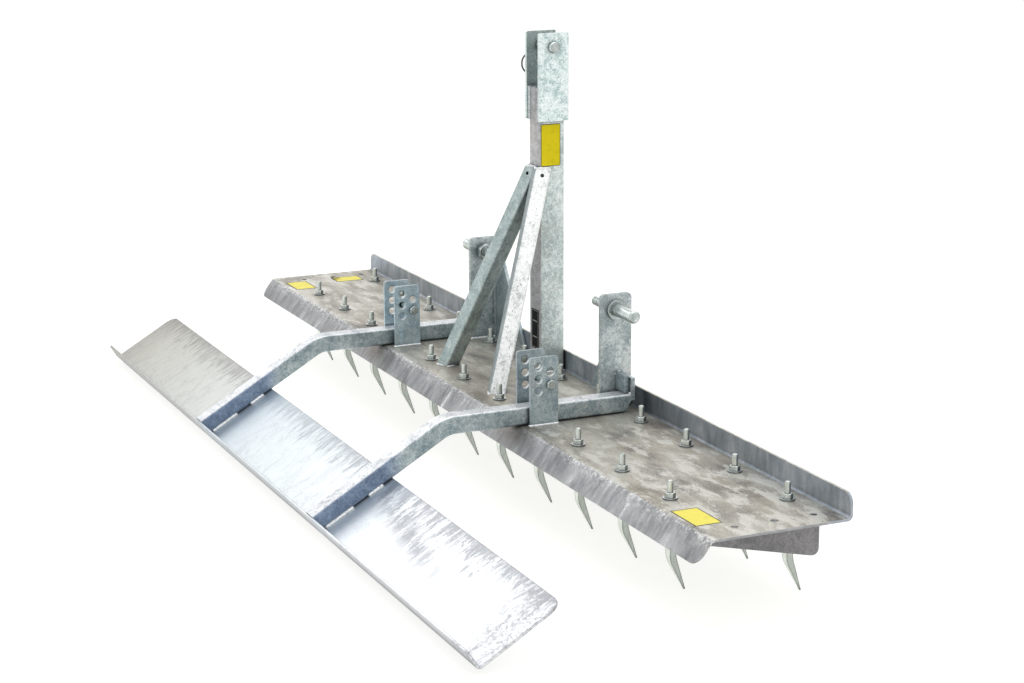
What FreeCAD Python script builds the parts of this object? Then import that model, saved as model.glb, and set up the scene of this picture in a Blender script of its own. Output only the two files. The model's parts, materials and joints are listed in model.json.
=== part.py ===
"""Arena leveller: a folded steel deck with two staggered rows of curved tines, a three-point
headstock, and a levelling blade carried behind it on two arms that hinge at the deck's front.

Millimetres. X is across the machine, +Y is the direction of travel and +Z is up. The origin is
on the ground, at the centre of the machine's box. Most sketches are drawn from the rear bend of
the deck's top face, and the arms and the blade from the heel on which the arms turn.
"""
import FreeCAD, Part
import math
import os
import types

import Sketcher
from FreeCAD import Placement, Rotation, Vector

SIZES = (
    ("deck_long", 2500, "deck, end to end"),
    ("deck_deep", 300, "deck, rear bend to the outer face of the front flange"),
    ("deck_high", 188, "top of the deck above the ground"),
    ("deck_sheet", 5, "sheet of the deck"),
    ("deck_bend", 6, "inner radius of the deck's bends"),
    ("front_flange", 48, "front flange above the deck"),
    ("front_corner", 22, "radius of the front flange's upper corners"),
    ("rear_flange", 55, "rear flange, measured along its slope"),
    ("rear_flange_angle", 52, "rear flange below the horizontal, degrees"),
    ("rear_corner", 26, "radius of the rear flange's lower corners"),
    ("end_hole_in", 50, "line of end holes, in from the end of the deck"),
    ("end_hole_back", 76, "rear end hole, forward of the rear bend"),
    ("end_hole_front", 54, "front end hole, behind the front flange's outer face"),
    ("end_hole_wide", 16, "bore of the middle end hole"),
    ("end_hole_small", 14, "bore of the outer end holes"),
    ("deflector_sheet", 5, "deflector plates under the deck's ends"),
    ("deflector_deep", 70, "deflector plate, below the deck"),
    ("deflector_corner", 15, "radius of a deflector's lower corners"),
    ("deflector_in", 238, "rear end of a deflector, in from the end of the deck"),
    ("deflector_back", 9, "rear end of a deflector, forward of the rear bend"),
    ("deflector_front", 54, "front end of a deflector, behind the front flange's outer face"),
    ("deflector_angle", 48.6, "deflector from the line of the deck, degrees"),
    ("tine_pitch", 200, "tines of a row, centre to centre"),
    ("front_row", 50, "front row of tines, behind the front flange's outer face"),
    ("rear_row", 50, "rear row of tines, forward of the rear bend"),
    ("tine_wide", 28, "tine, across"),
    ("tine_back", 4, "tine's rear face behind its stud's axis"),
    ("tine_front", 9, "tine's front face ahead of its stud's axis"),
    ("tine_elbow_back", 65, "where the rear face turns forward, above the point"),
    ("tine_elbow_front", 75, "where the front face turns forward, above the point"),
    ("tine_back_bend", 62, "radius of the rear face's turn"),
    ("tine_front_bend", 90, "radius of the front face's turn"),
    ("tine_reach", 35, "point of the tine, forward of its stud's axis"),
    ("tine_point", 3, "blunt end of the point, both ways"),
    ("tine_taper", 121, "narrowing part of the tine, height"),
    ("tine_edge", 2.5, "bevel along the tine's rear edges"),
    ("stud_wide", 12, "tine stud"),
    ("stud_high", 36, "tine stud above the deck"),
    ("stud_bevel", 1.2, "bevel at the end of a stud or a bolt"),
    ("stud_play", 0.5, "play of a stud or a bolt in its hole, all round"),
    ("washer_wide", 30, "washer, outside"),
    ("washer_thick", 3, "washer, thickness"),
    ("nut_across", 19, "small nuts and bolt heads, across flats"),
    ("nut_high", 10, "small nuts"),
    ("thread_play", 0.1, "play of a thread in its nut, all round"),
    ("mast_wide", 60, "mast tube, outside"),
    ("mast_wall", 4, "mast tube, wall"),
    ("mast_corner", 3, "mast tube, outer corner radius"),
    ("mast_gap", 3, "between the mast and the front flange"),
    ("mast_under_pin", 94, "top of the mast tube below the top link pin"),
    ("clevis_thick", 8, "top link plates"),
    ("clevis_back", 7, "top link plates behind the mast"),
    ("clevis_front", 7, "top link plates ahead of the mast"),
    ("clevis_lap", 74, "top link plates down from the top of the mast"),
    ("clevis_over_pin", 32, "upper edge of the top link plates above their pin"),
    ("clevis_corner", 4, "radius of their upper corners"),
    ("top_pin_wide", 25, "top link pin"),
    ("top_pin_high", 759, "top link pin above the deck"),
    ("top_pin_back", 39, "top link pin behind the front edge of its plates"),
    ("top_pin_play", 0.06, "running play of the top link pin, all round"),
    ("top_pin_right", 10, "top link pin beyond the right plate"),
    ("top_pin_left", 26, "top link pin beyond the left plate"),
    ("top_pin_bevel", 1.5, "bevel at the ends of the top link pin"),
    ("linch_out", 12, "linch pin beyond the left top link plate"),
    ("linch_wide", 10, "linch pin's shank"),
    ("linch_play", 0.2, "play of the linch pin in the top link pin, all round"),
    ("linch_tip", 10, "linch pin beyond the top link pin"),
    ("linch_head_wide", 16, "linch pin's head"),
    ("linch_head_high", 15, "linch pin's head, height"),
    ("linch_head_gap", 0.3, "from the linch pin's head to the top link pin"),
    ("linch_lean", 16, "linch pin and ring, lean from the upright, degrees"),
    ("ring_wide", 50, "linch ring, between the wire's centres"),
    ("ring_wire", 4, "wire of the linch ring"),
    ("ring_bore", 7.5, "cross bore in the linch pin's head"),
    ("brace_wide", 38, "brace tubes, outside"),
    ("brace_wall", 3, "brace tubes, wall"),
    ("brace_corner", 5, "brace tubes, outer corner radius"),
    ("brace_foot_out", 141.7, "brace foot, from the machine's centre"),
    ("brace_foot_in", 68.9, "brace foot, forward of the rear bend"),
    ("brace_top_out", 14.5, "brace top, from the machine's centre"),
    ("brace_top_in", 11.6, "brace top, forward of the mast's rear face"),
    ("brace_high", 482, "top of the braces above the deck"),
    ("brace_turn", 39.6, "braces turned about their own length, degrees"),
    ("brace_gap", 0.6, "between the braces where they meet behind the mast"),
    ("brace_vent", 9, "vent hole near the top of each brace"),
    ("brace_vent_down", 22, "vent hole, down from the brace's top"),
    ("link_thick", 10, "lower link plates"),
    ("link_out", 364, "outer face of a lower link plate, from the machine's centre"),
    ("link_wide", 75, "lower link plate, front to back"),
    ("link_over_pin", 34, "upper edge of a lower link plate above its pin"),
    ("link_corner", 10, "radius of its upper corners"),
    ("pin_back", 44, "lower hitch pin behind the front flange's outer face"),
    ("pin_high", 220, "lower hitch pin above the deck"),
    ("pin_wide", 28, "lower hitch pin"),
    ("pin_long", 83, "lower hitch pin outside its collar"),
    ("pin_bevel", 3, "bevel at the end of a lower hitch pin"),
    ("pin_collar_wide", 44, "collar of a lower hitch pin"),
    ("pin_collar_thick", 8, "collar of a lower hitch pin, thickness"),
    ("pin_thread", 24, "threaded shank of a lower hitch pin"),
    ("pin_nut_across", 36, "nut of a lower hitch pin, across flats"),
    ("pin_nut_high", 19, "nut of a lower hitch pin"),
    ("pin_tail_wide", 22, "tail of a lower hitch pin"),
    ("pin_tail_long", 67, "tail of a lower hitch pin"),
    ("gusset_thick", 8, "gussets beside the lower link plates"),
    ("gusset_down", 29, "upper edge of a gusset below that of its link plate"),
    ("gusset_top", 26, "gusset's upper edge"),
    ("gusset_foot", 177, "gusset's lower edge"),
    ("cross_thick", 10, "cross plates over the arms"),
    ("cross_wide", 46, "cross plate, out from the link plate"),
    ("cross_high", 39, "cross plate, height"),
    ("cross_back", 44, "rear face of a cross plate behind the front flange's outer face"),
    ("cross_gap", 0.8, "from a cross plate to the arm under it"),
    ("guide_thick", 6, "guide plates beside the arms"),
    ("guide_in", 19, "rear edge of a guide plate, forward of the rear bend"),
    ("guide_corner", 6, "radius of a guide plate's upper corners"),
    ("guide_gap", 5, "from an arm to the guide plate outboard of it"),
    ("guide_gap_inner", 17, "from an arm to the guide plate inboard of it"),
    ("guide_hole", 17, "holes of the guide plates"),
    ("guide_hole_back", 20, "rear column of holes, from the plate's rear edge"),
    ("guide_hole_step", 28, "from the rear column of holes to the front one"),
    ("guide_hole_pitch", 27, "holes of a column, centre to centre"),
    ("guide_hole_low", 74.5, "lowest hole of the rear column above the deck"),
    ("guide_hole_front", 18, "front column of holes, from the plate's front edge"),
    ("guide_hole_top", 21.5, "highest hole of the rear column, from the plate's upper edge"),
    ("stop_bolt_wide", 12, "stop bolt"),
    ("stop_head_high", 7.5, "stop bolt's head"),
    ("stop_tail", 4, "stop bolt beyond its nut"),
    ("arm_wide", 40, "arm tube, outside"),
    ("arm_wall", 3, "arm tube, wall"),
    ("arm_corner", 5, "arm tube, outer corner radius"),
    ("arm_out", 400, "middle of an arm, from the machine's centre"),
    ("arm_gap", 0.3, "arm's underside above the deck"),
    ("heel_back", 48, "heel of an arm behind the front flange's outer face"),
    ("heel_front", 15, "front end of an arm, forward of its heel"),
    ("heel_rise", 24.5, "slanted cut under the front end, height"),
    ("arm_kink", 413, "bend of the arm's underside, behind the heel"),
    ("arm_bend", 55, "radius of the bend's inner side"),
    ("arm_angle", 30.5, "rear part of the arm below its front part, degrees"),
    ("arm_trim", 14, "corner cut from the arm's lower end"),
    ("hook_thick", 9, "hook plate on the front end of an arm"),
    ("hook_clear", 1.2, "lower edge of a hook plate above the arm's underside"),
    ("hook_high", 50, "hook plate, height"),
    ("blade_long", 2472, "blade, end to end"),
    ("blade_sheet", 5, "sheet of the blade"),
    ("blade_bend", 5, "inner radius of the blade's bend"),
    ("blade_panel", 191, "sloping panel of the blade"),
    ("blade_clear", 13, "lowest point of the blade above the tines' points"),
    ("blade_lip", 42, "lip of the blade, square to the panel"),
    ("blade_corner", 30, "radius of the panel's upper corners"),
    ("plate_wide", 36, "name plate, across"),
    ("plate_high", 93, "name plate, height"),
    ("plate_low", 54, "lower edge of the name plate above the deck"),
    ("plate_thick", 1, "name plate, thickness"),
    ("overrun", 5, "how far a cutting shape runs past what it cuts"),
    ("touch", 0.001, "how close two points are when they are the same corner"),
)

# The bevel of a hexagon's corners, as shares of its inner radius.
BEVEL_START_SHARE = 0.94
BEVEL_END_SHARE = 1.25
BEVEL_DROP_SHARE = 0.18

SIDES = (("right", 1), ("left", -1))


class Size:
    """A size of the sheet, or one worked out from such sizes: its number and its expression."""

    def __init__(self, number, formula):
        self.number = number
        self.formula = formula

    def __add__(self, other):
        return Size(self.number + number(other), "(%s + %s)" % (self.formula, formula(other)))

    def __sub__(self, other):
        return Size(self.number - number(other), "(%s - %s)" % (self.formula, formula(other)))

    def __mul__(self, other):
        return Size(self.number * number(other), "%s * %s" % (self.formula, formula(other)))

    def __truediv__(self, other):
        return Size(self.number / number(other), "%s / (%s)" % (self.formula, formula(other)))

    def __neg__(self):
        return Size(-self.number, "(0 - %s)" % self.formula)

    __radd__ = __add__
    __rmul__ = __mul__

    def __rsub__(self, other):
        return -self + other


def number(value):
    return value.number if isinstance(value, Size) else value


def formula(value):
    return value.formula if isinstance(value, Size) else "(%r)" % float(value)


def sine(angle):
    return Size(math.sin(math.radians(angle.number)), "sin(%s)" % angle.formula)


def cosine(angle):
    return Size(math.cos(math.radians(angle.number)), "cos(%s)" % angle.formula)


def tangent(angle):
    return sine(angle) / cosine(angle)


def bind(item, name, value):
    """Ties a property to the sheet, or sets it where the value is a plain number."""
    item.setExpression(name, formula(value))


def spread(*values):
    return Vector(*(number(value) for value in values))


# Document and sheet of sizes

doc = FreeCAD.newDocument("ArenaLeveller")
sheet = doc.addObject("Spreadsheet::Sheet", "Sizes")
for row, (alias, value, meaning) in enumerate(SIZES, 1):
    sheet.set("A%d" % row, meaning)
    sheet.set("B%d" % row, str(value))
    sheet.setAlias("B%d" % row, alias)
doc.recompute()

s = types.SimpleNamespace()
for alias, value, meaning in SIZES:
    setattr(s, alias, Size(float(sheet.get(alias)), "Sizes." + alias))


# Sketches and features

def new_body(label, place=(0, 0, 0), axis=None, angle=0):
    """A body at a place of the machine, turned about an axis through that place."""
    body = doc.addObject("PartDesign::Body", label)
    body.Label = label
    if axis is not None:
        body.Placement = Placement(Vector(), Rotation(axis, 1))
        bind(body, ".Placement.Rotation.Angle", angle)
    for letter, value in zip("xyz", place):
        bind(body, ".Placement.Base." + letter, value)
    return body


def new_sketch(body, role, offset=None):
    """An empty sketch on one of the body's origin planes, or parallel to it."""
    sketch = body.newObject("Sketcher::SketchObject", body.Name + "_sketch")
    for plane in body.Origin.OriginFeatures:
        if plane.Role == role:
            sketch.AttachmentSupport = (plane, [""])
    sketch.MapMode = "FlatFace"
    if offset is not None:
        bind(sketch, ".AttachmentOffset.Base.z", offset)
    return sketch


def fix_point(sketch, index, position, u, v):
    """Holds a point of the sketch at its distances from the sketch's axes."""
    for kind, axis, value in (("DistanceX", -2, u), ("DistanceY", -1, v)):
        if number(value) == 0:
            sketch.addConstraint(Sketcher.Constraint("PointOnObject", index, position, axis))
            continue
        held = Sketcher.Constraint(kind, -1, 1, index, position, number(value))
        place = sketch.addConstraint(held)
        bind(sketch, "Constraints[%d]" % place, value)


def add_loop(sketch, corners):
    """A closed outline of straight lines."""
    first = sketch.GeometryCount
    count = len(corners)
    points = [spread(u, v, 0) for u, v in corners]
    for i in range(count):
        sketch.addGeometry(Part.LineSegment(points[i], points[(i + 1) % count]), False)
    for i in range(count):
        after = first + (i + 1) % count
        sketch.addConstraint(Sketcher.Constraint("Coincident", first + i, 2, after, 1))
    for i, (u, v) in enumerate(corners):
        fix_point(sketch, first + i, 1, u, v)


def add_circle(sketch, u, v, wide):
    circle = Part.Circle(spread(u, v, 0), Vector(0, 0, 1), number(wide) / 2)
    index = sketch.addGeometry(circle, False)
    fix_point(sketch, index, 3, u, v)
    place = sketch.addConstraint(Sketcher.Constraint("Diameter", index, number(wide)))
    bind(sketch, "Constraints[%d]" % place, wide)


def outline(body, role, corners, offset=None):
    sketch = new_sketch(body, role, offset)
    add_loop(sketch, corners)
    return sketch


def circles(body, role, places, wide, offset=None):
    sketch = new_sketch(body, role, offset)
    for u, v in places:
        add_circle(sketch, u, v, wide)
    return sketch


def pad(body, sketch, length, middle=False, back=False):
    """Adds the sketch's area, up from it, down from it or to both sides."""
    feature = body.newObject("PartDesign::Pad", body.Name + "_pad")
    feature.Profile = sketch
    bind(feature, "Length", length)
    feature.Midplane = middle
    feature.Reversed = back
    doc.recompute()
    return feature


def pocket(body, sketch, length=None, middle=False, back=False):
    """Cuts the sketch's area away: to a depth, or to both sides right through."""
    before = body.Tip.Shape.Volume
    feature = body.newObject("PartDesign::Pocket", body.Name + "_pocket")
    feature.Profile = sketch
    if length is None:
        feature.Type = "ThroughAll"
    else:
        bind(feature, "Length", length)
    feature.Midplane = middle
    feature.Reversed = back
    doc.recompute()
    if not feature.Shape.Volume < before:
        raise RuntimeError("%s cuts nothing" % feature.Name)
    return feature


def turned(body, points):
    """A solid turned about the body's X axis from points of its half section."""
    sketch = outline(body, "XY_Plane", points)
    feature = body.newObject("PartDesign::Revolution", body.Name + "_turned")
    feature.Profile = sketch
    feature.ReferenceAxis = (sketch, ["H_Axis"])
    feature.Angle = 360
    doc.recompute()
    return feature


def cut_away(label, body, tools):
    """The body with other bodies' shapes cut out of it."""
    for tool in tools:
        cut = doc.addObject("Part::Cut", label)
        cut.Base = body
        cut.Tool = tool
        body = cut
    body.Label = label
    doc.recompute()
    return body


def edge_name(shape, start, end):
    """The edge between two corners."""
    for place, edge in enumerate(shape.Edges, 1):
        if len(edge.Vertexes) != 2:
            continue
        first, last = (vertex.Point for vertex in edge.Vertexes)
        near = s.touch.number
        if first.distanceToPoint(start) < near and last.distanceToPoint(end) < near:
            return "Edge%d" % place
        if first.distanceToPoint(end) < near and last.distanceToPoint(start) < near:
            return "Edge%d" % place
    raise ValueError("no edge from %s to %s" % (start, end))


def soften(body, kind, size, ends):
    """A fillet or a chamfer on the edges whose two ends are given."""
    base = body.Tip
    names = [edge_name(base.Shape, spread(*start), spread(*end)) for start, end in ends]
    feature = body.newObject("PartDesign::" + kind, body.Name + "_" + kind.lower())
    feature.Base = (base, names)
    bind(feature, "Radius" if kind == "Fillet" else "Size", size)
    doc.recompute()
    return feature


def across_x(half, u, v):
    """The two ends of an edge that runs along X through a place of the YZ plane."""
    return ((-half, u, v), (half, u, v))


# Places that several pieces share

inner_front = s.deck_deep - s.deck_sheet
mast_front = inner_front - s.mast_gap
mast_back = mast_front - s.mast_wide
mast_high = s.top_pin_high - s.mast_under_pin
clevis_back = mast_back - s.clevis_back
clevis_front = mast_front + s.clevis_front
top_pin_y = clevis_front - s.top_pin_back
link_high = s.pin_high + s.link_over_pin
front_row = s.deck_deep - s.front_row
heel_y = s.deck_deep - s.heel_back
slope_x = -cosine(s.arm_angle)
slope_z = -sine(s.arm_angle)
square_x = -sine(s.arm_angle)
square_z = cosine(s.arm_angle)

# Along the slope, from the underside's bend to the centre of the blade's bend: the length that
# brings the blade's lowest point to its height above the tines' points.
bend_outer = s.blade_bend + s.blade_sheet
bend_rise = s.blade_bend * square_z
bend_high = bend_outer + s.blade_clear
slope_run = (s.deck_high + s.arm_gap + bend_rise - bend_high) / sine(s.arm_angle)


def on_slope(along, up):
    """A place of the arm's YZ plane: along its rear part and square to that, from the heel."""
    return (-s.arm_kink + along * slope_x + up * square_x, along * slope_z + up * square_z)


lip_inner = slope_run + s.blade_bend
lip_outer = slope_run + bend_outer
lip_up = s.blade_lip - s.blade_sheet
rearmost = heel_y + on_slope(lip_outer, lip_up)[0]
deck_y = -(s.deck_deep + rearmost) / 2
deck_z = s.deck_high
heel_z = deck_z + s.arm_gap


def on_deck(label, x=0, y=0, z=0):
    """A body whose sketches are drawn from a place measured from the deck's rear bend."""
    return new_body(label, (x, deck_y + y, deck_z + z))


def on_heel(label, x=0):
    """A body of the arms and the blade, whose sketches are drawn from the heel."""
    return new_body(label, (x, deck_y + heel_y, heel_z))


def stud_places():
    """The studs of both rows, from the machine's right end to its left.

    The front row fills the deck, and the rear row stands between its tines.
    """
    full = int(number(s.deck_long) / number(s.tine_pitch))
    places = []
    for row, count, y in (("front", full, front_row), ("rear", full - 1, s.rear_row)):
        for i in range(count):
            x = ((count - 1) / 2 - i) * s.tine_pitch
            places.append(("tine_%s_%02d" % (row, i + 1), x, y))
    return places


# Deck and deflectors

def make_deck():
    body = on_deck("tine_deck")
    half = s.deck_long / 2
    fall = s.rear_flange_angle
    low = s.deck_sheet
    root = low * tangent(fall / 2)
    tip = (-s.rear_flange * cosine(fall), -s.rear_flange * sine(fall))
    tip_under = (tip[0] + low * sine(fall), tip[1] - low * cosine(fall))
    corners = [
        (0, 0),
        (inner_front, 0),
        (inner_front, s.front_flange),
        (s.deck_deep, s.front_flange),
        (s.deck_deep, -low),
        (root, -low),
        tip_under,
        tip,
    ]
    pad(body, outline(body, "YZ_Plane", corners), s.deck_long, middle=True)
    ends = (-half, half)
    front = [((x, inner_front, s.front_flange), (x, s.deck_deep, s.front_flange)) for x in ends]
    soften(body, "Fillet", s.front_corner, front)
    soften(body, "Fillet", s.rear_corner, [((x,) + tip, (x,) + tip_under) for x in ends])
    inner = [across_x(half, inner_front, 0), across_x(half, root, -low)]
    outer = [across_x(half, s.deck_deep, -low), across_x(half, 0, 0)]
    soften(body, "Fillet", s.deck_bend, inner)
    soften(body, "Fillet", s.deck_bend + s.deck_sheet, outer)
    studs = [(x, y) for label, x, y in stud_places()]
    pocket(body, circles(body, "XY_Plane", studs, s.stud_wide + s.stud_play * 2), middle=True)
    line = half - s.end_hole_in
    near = s.end_hole_back
    far = s.deck_deep - s.end_hole_front
    middle_holes = [(x, (near + far) / 2) for x in (-line, line)]
    outer_holes = [(x, y) for x in (-line, line) for y in (near, far)]
    pocket(body, circles(body, "XY_Plane", middle_holes, s.end_hole_wide), middle=True)
    pocket(body, circles(body, "XY_Plane", outer_holes, s.end_hole_small), middle=True)
    return body


def make_deflector(name, side):
    start = s.deck_long / 2 - s.deflector_in
    place = (side * start, deck_y + s.deflector_back, deck_z - s.deck_sheet)
    turn = s.deflector_angle if side > 0 else 180 - s.deflector_angle
    body = new_body("deflector_plate_" + name, place, Vector(0, 0, 1), turn)
    far = (s.deck_deep - s.deflector_back - s.deflector_front) / sine(s.deflector_angle)
    low = -s.deflector_deep
    half = s.deflector_sheet / 2
    corners = [(0, 0), (far, 0), (far, low), (0, low)]
    pad(body, outline(body, "XZ_Plane", corners), s.deflector_sheet, middle=True)
    ends = [((x, -half, low), (x, half, low)) for x in (0, far)]
    soften(body, "Fillet", s.deflector_corner, ends)
    return body


# Tines and their fasteners

def make_tine(label, x, y):
    """A flat tine that curves forward to a blunt point, with its stud through the deck."""
    body = on_deck(label, x, y, -s.deck_sheet)
    half = s.tine_wide / 2
    tip = -(s.deck_high - s.deck_sheet)
    elbow_back = tip + s.tine_elbow_back
    elbow_front = tip + s.tine_elbow_front
    taper = tip + s.tine_taper
    corners = [
        (-s.tine_back, 0),
        (s.tine_front, 0),
        (s.tine_front, elbow_front),
        (s.tine_reach, tip),
        (s.tine_reach - s.tine_point, tip),
        (-s.tine_back, elbow_back),
    ]
    pad(body, outline(body, "YZ_Plane", corners), s.tine_wide, middle=True)
    rear = across_x(half, -s.tine_back, elbow_back)
    front = across_x(half, s.tine_front, elbow_front)
    soften(body, "Fillet", s.tine_back_bend, [rear])
    soften(body, "Fillet", s.tine_front_bend, [front])
    sides = new_sketch(body, "XZ_Plane")
    low = tip - s.overrun
    point = s.tine_point / 2
    for side in (-1, 1):
        corners = [
            (side * half, taper),
            (side * (half + s.overrun), taper),
            (side * (half + s.overrun), low),
            (side * point, low),
            (side * point, tip),
        ]
        add_loop(sides, corners)
    pocket(body, sides, middle=True)
    rear_top = -s.tine_back
    edges = [((x, rear_top, 0), (x, rear_top, taper)) for x in (-half, half)]
    soften(body, "Chamfer", s.tine_edge, edges)
    pad(body, circles(body, "XY_Plane", [(0, 0)], s.stud_wide), s.stud_high + s.deck_sheet)
    bevel_top(body, s.stud_wide / 2, s.stud_high + s.deck_sheet, s.stud_bevel)
    return body


def bevel_top(body, radius, top, size):
    """A chamfer round the upper end of an upright stud."""
    base = body.Tip
    names = []
    for place, edge in enumerate(base.Shape.Edges, 1):
        box = edge.BoundBox
        round_it = abs(box.XLength - number(radius) * 2) < s.touch.number
        if round_it and box.ZMin > number(top) - s.touch.number:
            names.append("Edge%d" % place)
    feature = body.newObject("PartDesign::Chamfer", body.Name + "_end")
    feature.Base = (base, names)
    bind(feature, "Size", size)
    doc.recompute()


def hexagon(across):
    """Corners of a hexagon with two of its flats square to Y."""
    reach = across / math.sqrt(3)
    turns = [math.radians(60 * i) for i in range(6)]
    corners = []
    for turn in turns:
        u = reach * math.cos(turn)
        v = reach * math.sin(turn) if round(math.sin(turn), 6) else 0
        corners.append((u, v))
    return corners


def bevel_hexagon(body, across, high):
    """Turns the corners of an upright hexagon's upper end down."""
    inner = across / 2 * BEVEL_START_SHARE
    outer = across / 2 * BEVEL_END_SHARE
    drop = across / 2 * BEVEL_DROP_SHARE
    sketch = outline(body, "XZ_Plane", [(inner, high), (outer, high), (outer, high - drop)])
    groove = body.newObject("PartDesign::Groove", body.Name + "_bevel")
    groove.Profile = sketch
    groove.ReferenceAxis = (sketch, ["V_Axis"])
    groove.Angle = 360
    doc.recompute()


def nut_form(label, across, high, bore):
    """An upright nut at the origin, for a set of nuts to be copied from."""
    body = new_body(label)
    pad(body, outline(body, "XY_Plane", hexagon(across)), high)
    bevel_hexagon(body, across, high)
    pocket(body, circles(body, "XY_Plane", [(0, 0)], bore), middle=True)
    return body


def washer_form(label):
    body = new_body(label)
    pad(body, circles(body, "XY_Plane", [(0, 0)], s.washer_wide), s.washer_thick)
    bore = s.stud_wide + s.stud_play * 2
    pocket(body, circles(body, "XY_Plane", [(0, 0)], bore), middle=True)
    return body


def copies(label, form, placements):
    """One node that holds the same small piece at several places."""
    solids = []
    for placement in placements:
        solid = form.Shape.copy()
        solid.Placement = placement
        solids.append(solid)
    feature = doc.addObject("Part::Feature", label)
    feature.Label = label
    feature.Shape = Part.makeCompound(solids)
    return feature


def make_tine_fasteners():
    washers = []
    nuts = []
    for label, x, y in stud_places():
        washers.append(Placement(spread(x, deck_y + y, deck_z), Rotation()))
        nuts.append(Placement(spread(x, deck_y + y, deck_z + s.washer_thick), Rotation()))
    bore = s.stud_wide + s.thread_play * 2
    nut = nut_form("nut_form", s.nut_across, s.nut_high, bore)
    return [copies("tine_washers", washer_form("washer_form"), washers), copies("tine_nuts", nut, nuts)]


# Mast, top link plates and pins

def box_tube_corners(low_u, low_v, wide, inset=0):
    """Corners of a square section, or of the hollow inside it."""
    near_u = low_u + inset
    near_v = low_v + inset
    far_u = low_u + (wide - inset)
    far_v = low_v + (wide - inset)
    return [(near_u, near_v), (far_u, near_v), (far_u, far_v), (near_u, far_v)]


def make_mast():
    body = on_deck("mast")
    half = s.mast_wide / 2
    outer = box_tube_corners(-half, mast_back, s.mast_wide)
    inner = box_tube_corners(-half, mast_back, s.mast_wide, s.mast_wall)
    pad(body, outline(body, "XY_Plane", outer), mast_high)
    soften(body, "Fillet", s.mast_corner, [(c + (0,), c + (mast_high,)) for c in outer])
    pocket(body, outline(body, "XY_Plane", inner), middle=True)
    relieve_bend(body)
    return body


def relieve_bend(body):
    """Cuts the lower front corner of an upright piece clear of the deck's front bend."""
    low = -s.overrun
    cut = s.deck_bend
    corners = [
        (inner_front - cut, 0),
        (inner_front - cut, low),
        (inner_front + s.overrun, low),
        (inner_front + s.overrun, cut),
        (inner_front, cut),
    ]
    pocket(body, outline(body, "YZ_Plane", corners), middle=True)


def make_clevis_plate(name, side):
    half = s.clevis_thick / 2
    body = on_deck("clevis_plate_" + name, side * (s.mast_wide / 2 + half))
    near = clevis_back
    far = clevis_front
    low = mast_high - s.clevis_lap
    high = s.top_pin_high + s.clevis_over_pin
    corners = [(near, low), (far, low), (far, high), (near, high)]
    pad(body, outline(body, "YZ_Plane", corners), s.clevis_thick, middle=True)
    soften(body, "Fillet", s.clevis_corner, [across_x(half, y, high) for y in (near, far)])
    bore = s.top_pin_wide + s.top_pin_play * 2
    place = [(top_pin_y, s.top_pin_high)]
    pocket(body, circles(body, "YZ_Plane", place, bore), middle=True)
    return body


def make_top_pin():
    body = on_deck("top_pin_blank", 0, top_pin_y, s.top_pin_high)
    outer = s.mast_wide / 2 + s.clevis_thick
    right = outer + s.top_pin_right
    left = -(outer + s.top_pin_left)
    radius = s.top_pin_wide / 2
    bevel = s.top_pin_bevel
    points = [
        (left, 0),
        (left, radius - bevel),
        (left + bevel, radius),
        (right - bevel, radius),
        (right, radius - bevel),
        (right, 0),
    ]
    turned(body, points)
    # The cross bore leans with the linch pin that stands in it.
    bore = leaning_body("linch_bore")
    wide = s.linch_wide + s.linch_play * 2
    pad(bore, circles(bore, "XY_Plane", [(0, 0)], wide), s.top_pin_wide * 2, middle=True)
    return cut_away("top_link_pin", body, [bore])


def linch_x():
    return -(s.mast_wide / 2 + s.clevis_thick + s.linch_out)


def leaning_body(label):
    """A body at the linch pin's crossing with the top link pin, leaning as they do."""
    place = (linch_x(), deck_y + top_pin_y, deck_z + s.top_pin_high)
    return new_body(label, place, Vector(1, 0, 0), -s.linch_lean)


def linch_head_middle():
    return -(s.top_pin_wide / 2 + s.linch_head_gap + s.linch_head_high / 2)


def make_linch_pin():
    """The pin is upright in its own body: its half section is drawn beside the Z axis."""
    body = leaning_body("linch_pin")
    head_top = linch_head_middle() + s.linch_head_high / 2
    head_low = linch_head_middle() - s.linch_head_high / 2
    head = s.linch_head_wide / 2
    shank = s.linch_wide / 2
    tip = s.top_pin_wide / 2 + s.linch_tip
    bevel = s.top_pin_bevel
    points = [
        (0, head_low),
        (head - bevel, head_low),
        (head, head_low + bevel),
        (head, head_top - bevel),
        (head - bevel, head_top),
        (shank, head_top),
        (shank, tip - bevel * 2),
        (shank - bevel, tip),
        (0, tip),
    ]
    sketch = outline(body, "XZ_Plane", points)
    feature = body.newObject("PartDesign::Revolution", "linch_pin_turned")
    feature.Profile = sketch
    feature.ReferenceAxis = (sketch, ["V_Axis"])
    feature.Angle = 360
    doc.recompute()
    pocket(body, circles(body, "XZ_Plane", [(0, linch_head_middle())], s.ring_bore), middle=True)
    return body


def make_linch_ring():
    """The ring hangs in the plane of travel, its wire through the head's cross bore."""
    drop = s.ring_wide / 2 - linch_head_middle()
    y = deck_y + top_pin_y - drop * sine(s.linch_lean)
    z = deck_z + s.top_pin_high - drop * cosine(s.linch_lean)
    body = new_body("linch_ring", (linch_x(), y, z), Vector(1, 0, 0), -s.linch_lean)
    sketch = circles(body, "XY_Plane", [(0, s.ring_wide / 2)], s.ring_wire)
    feature = body.newObject("PartDesign::Revolution", "linch_ring_turned")
    feature.Profile = sketch
    feature.ReferenceAxis = (sketch, ["H_Axis"])
    feature.Angle = 360
    doc.recompute()
    return body


# Braces

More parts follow.
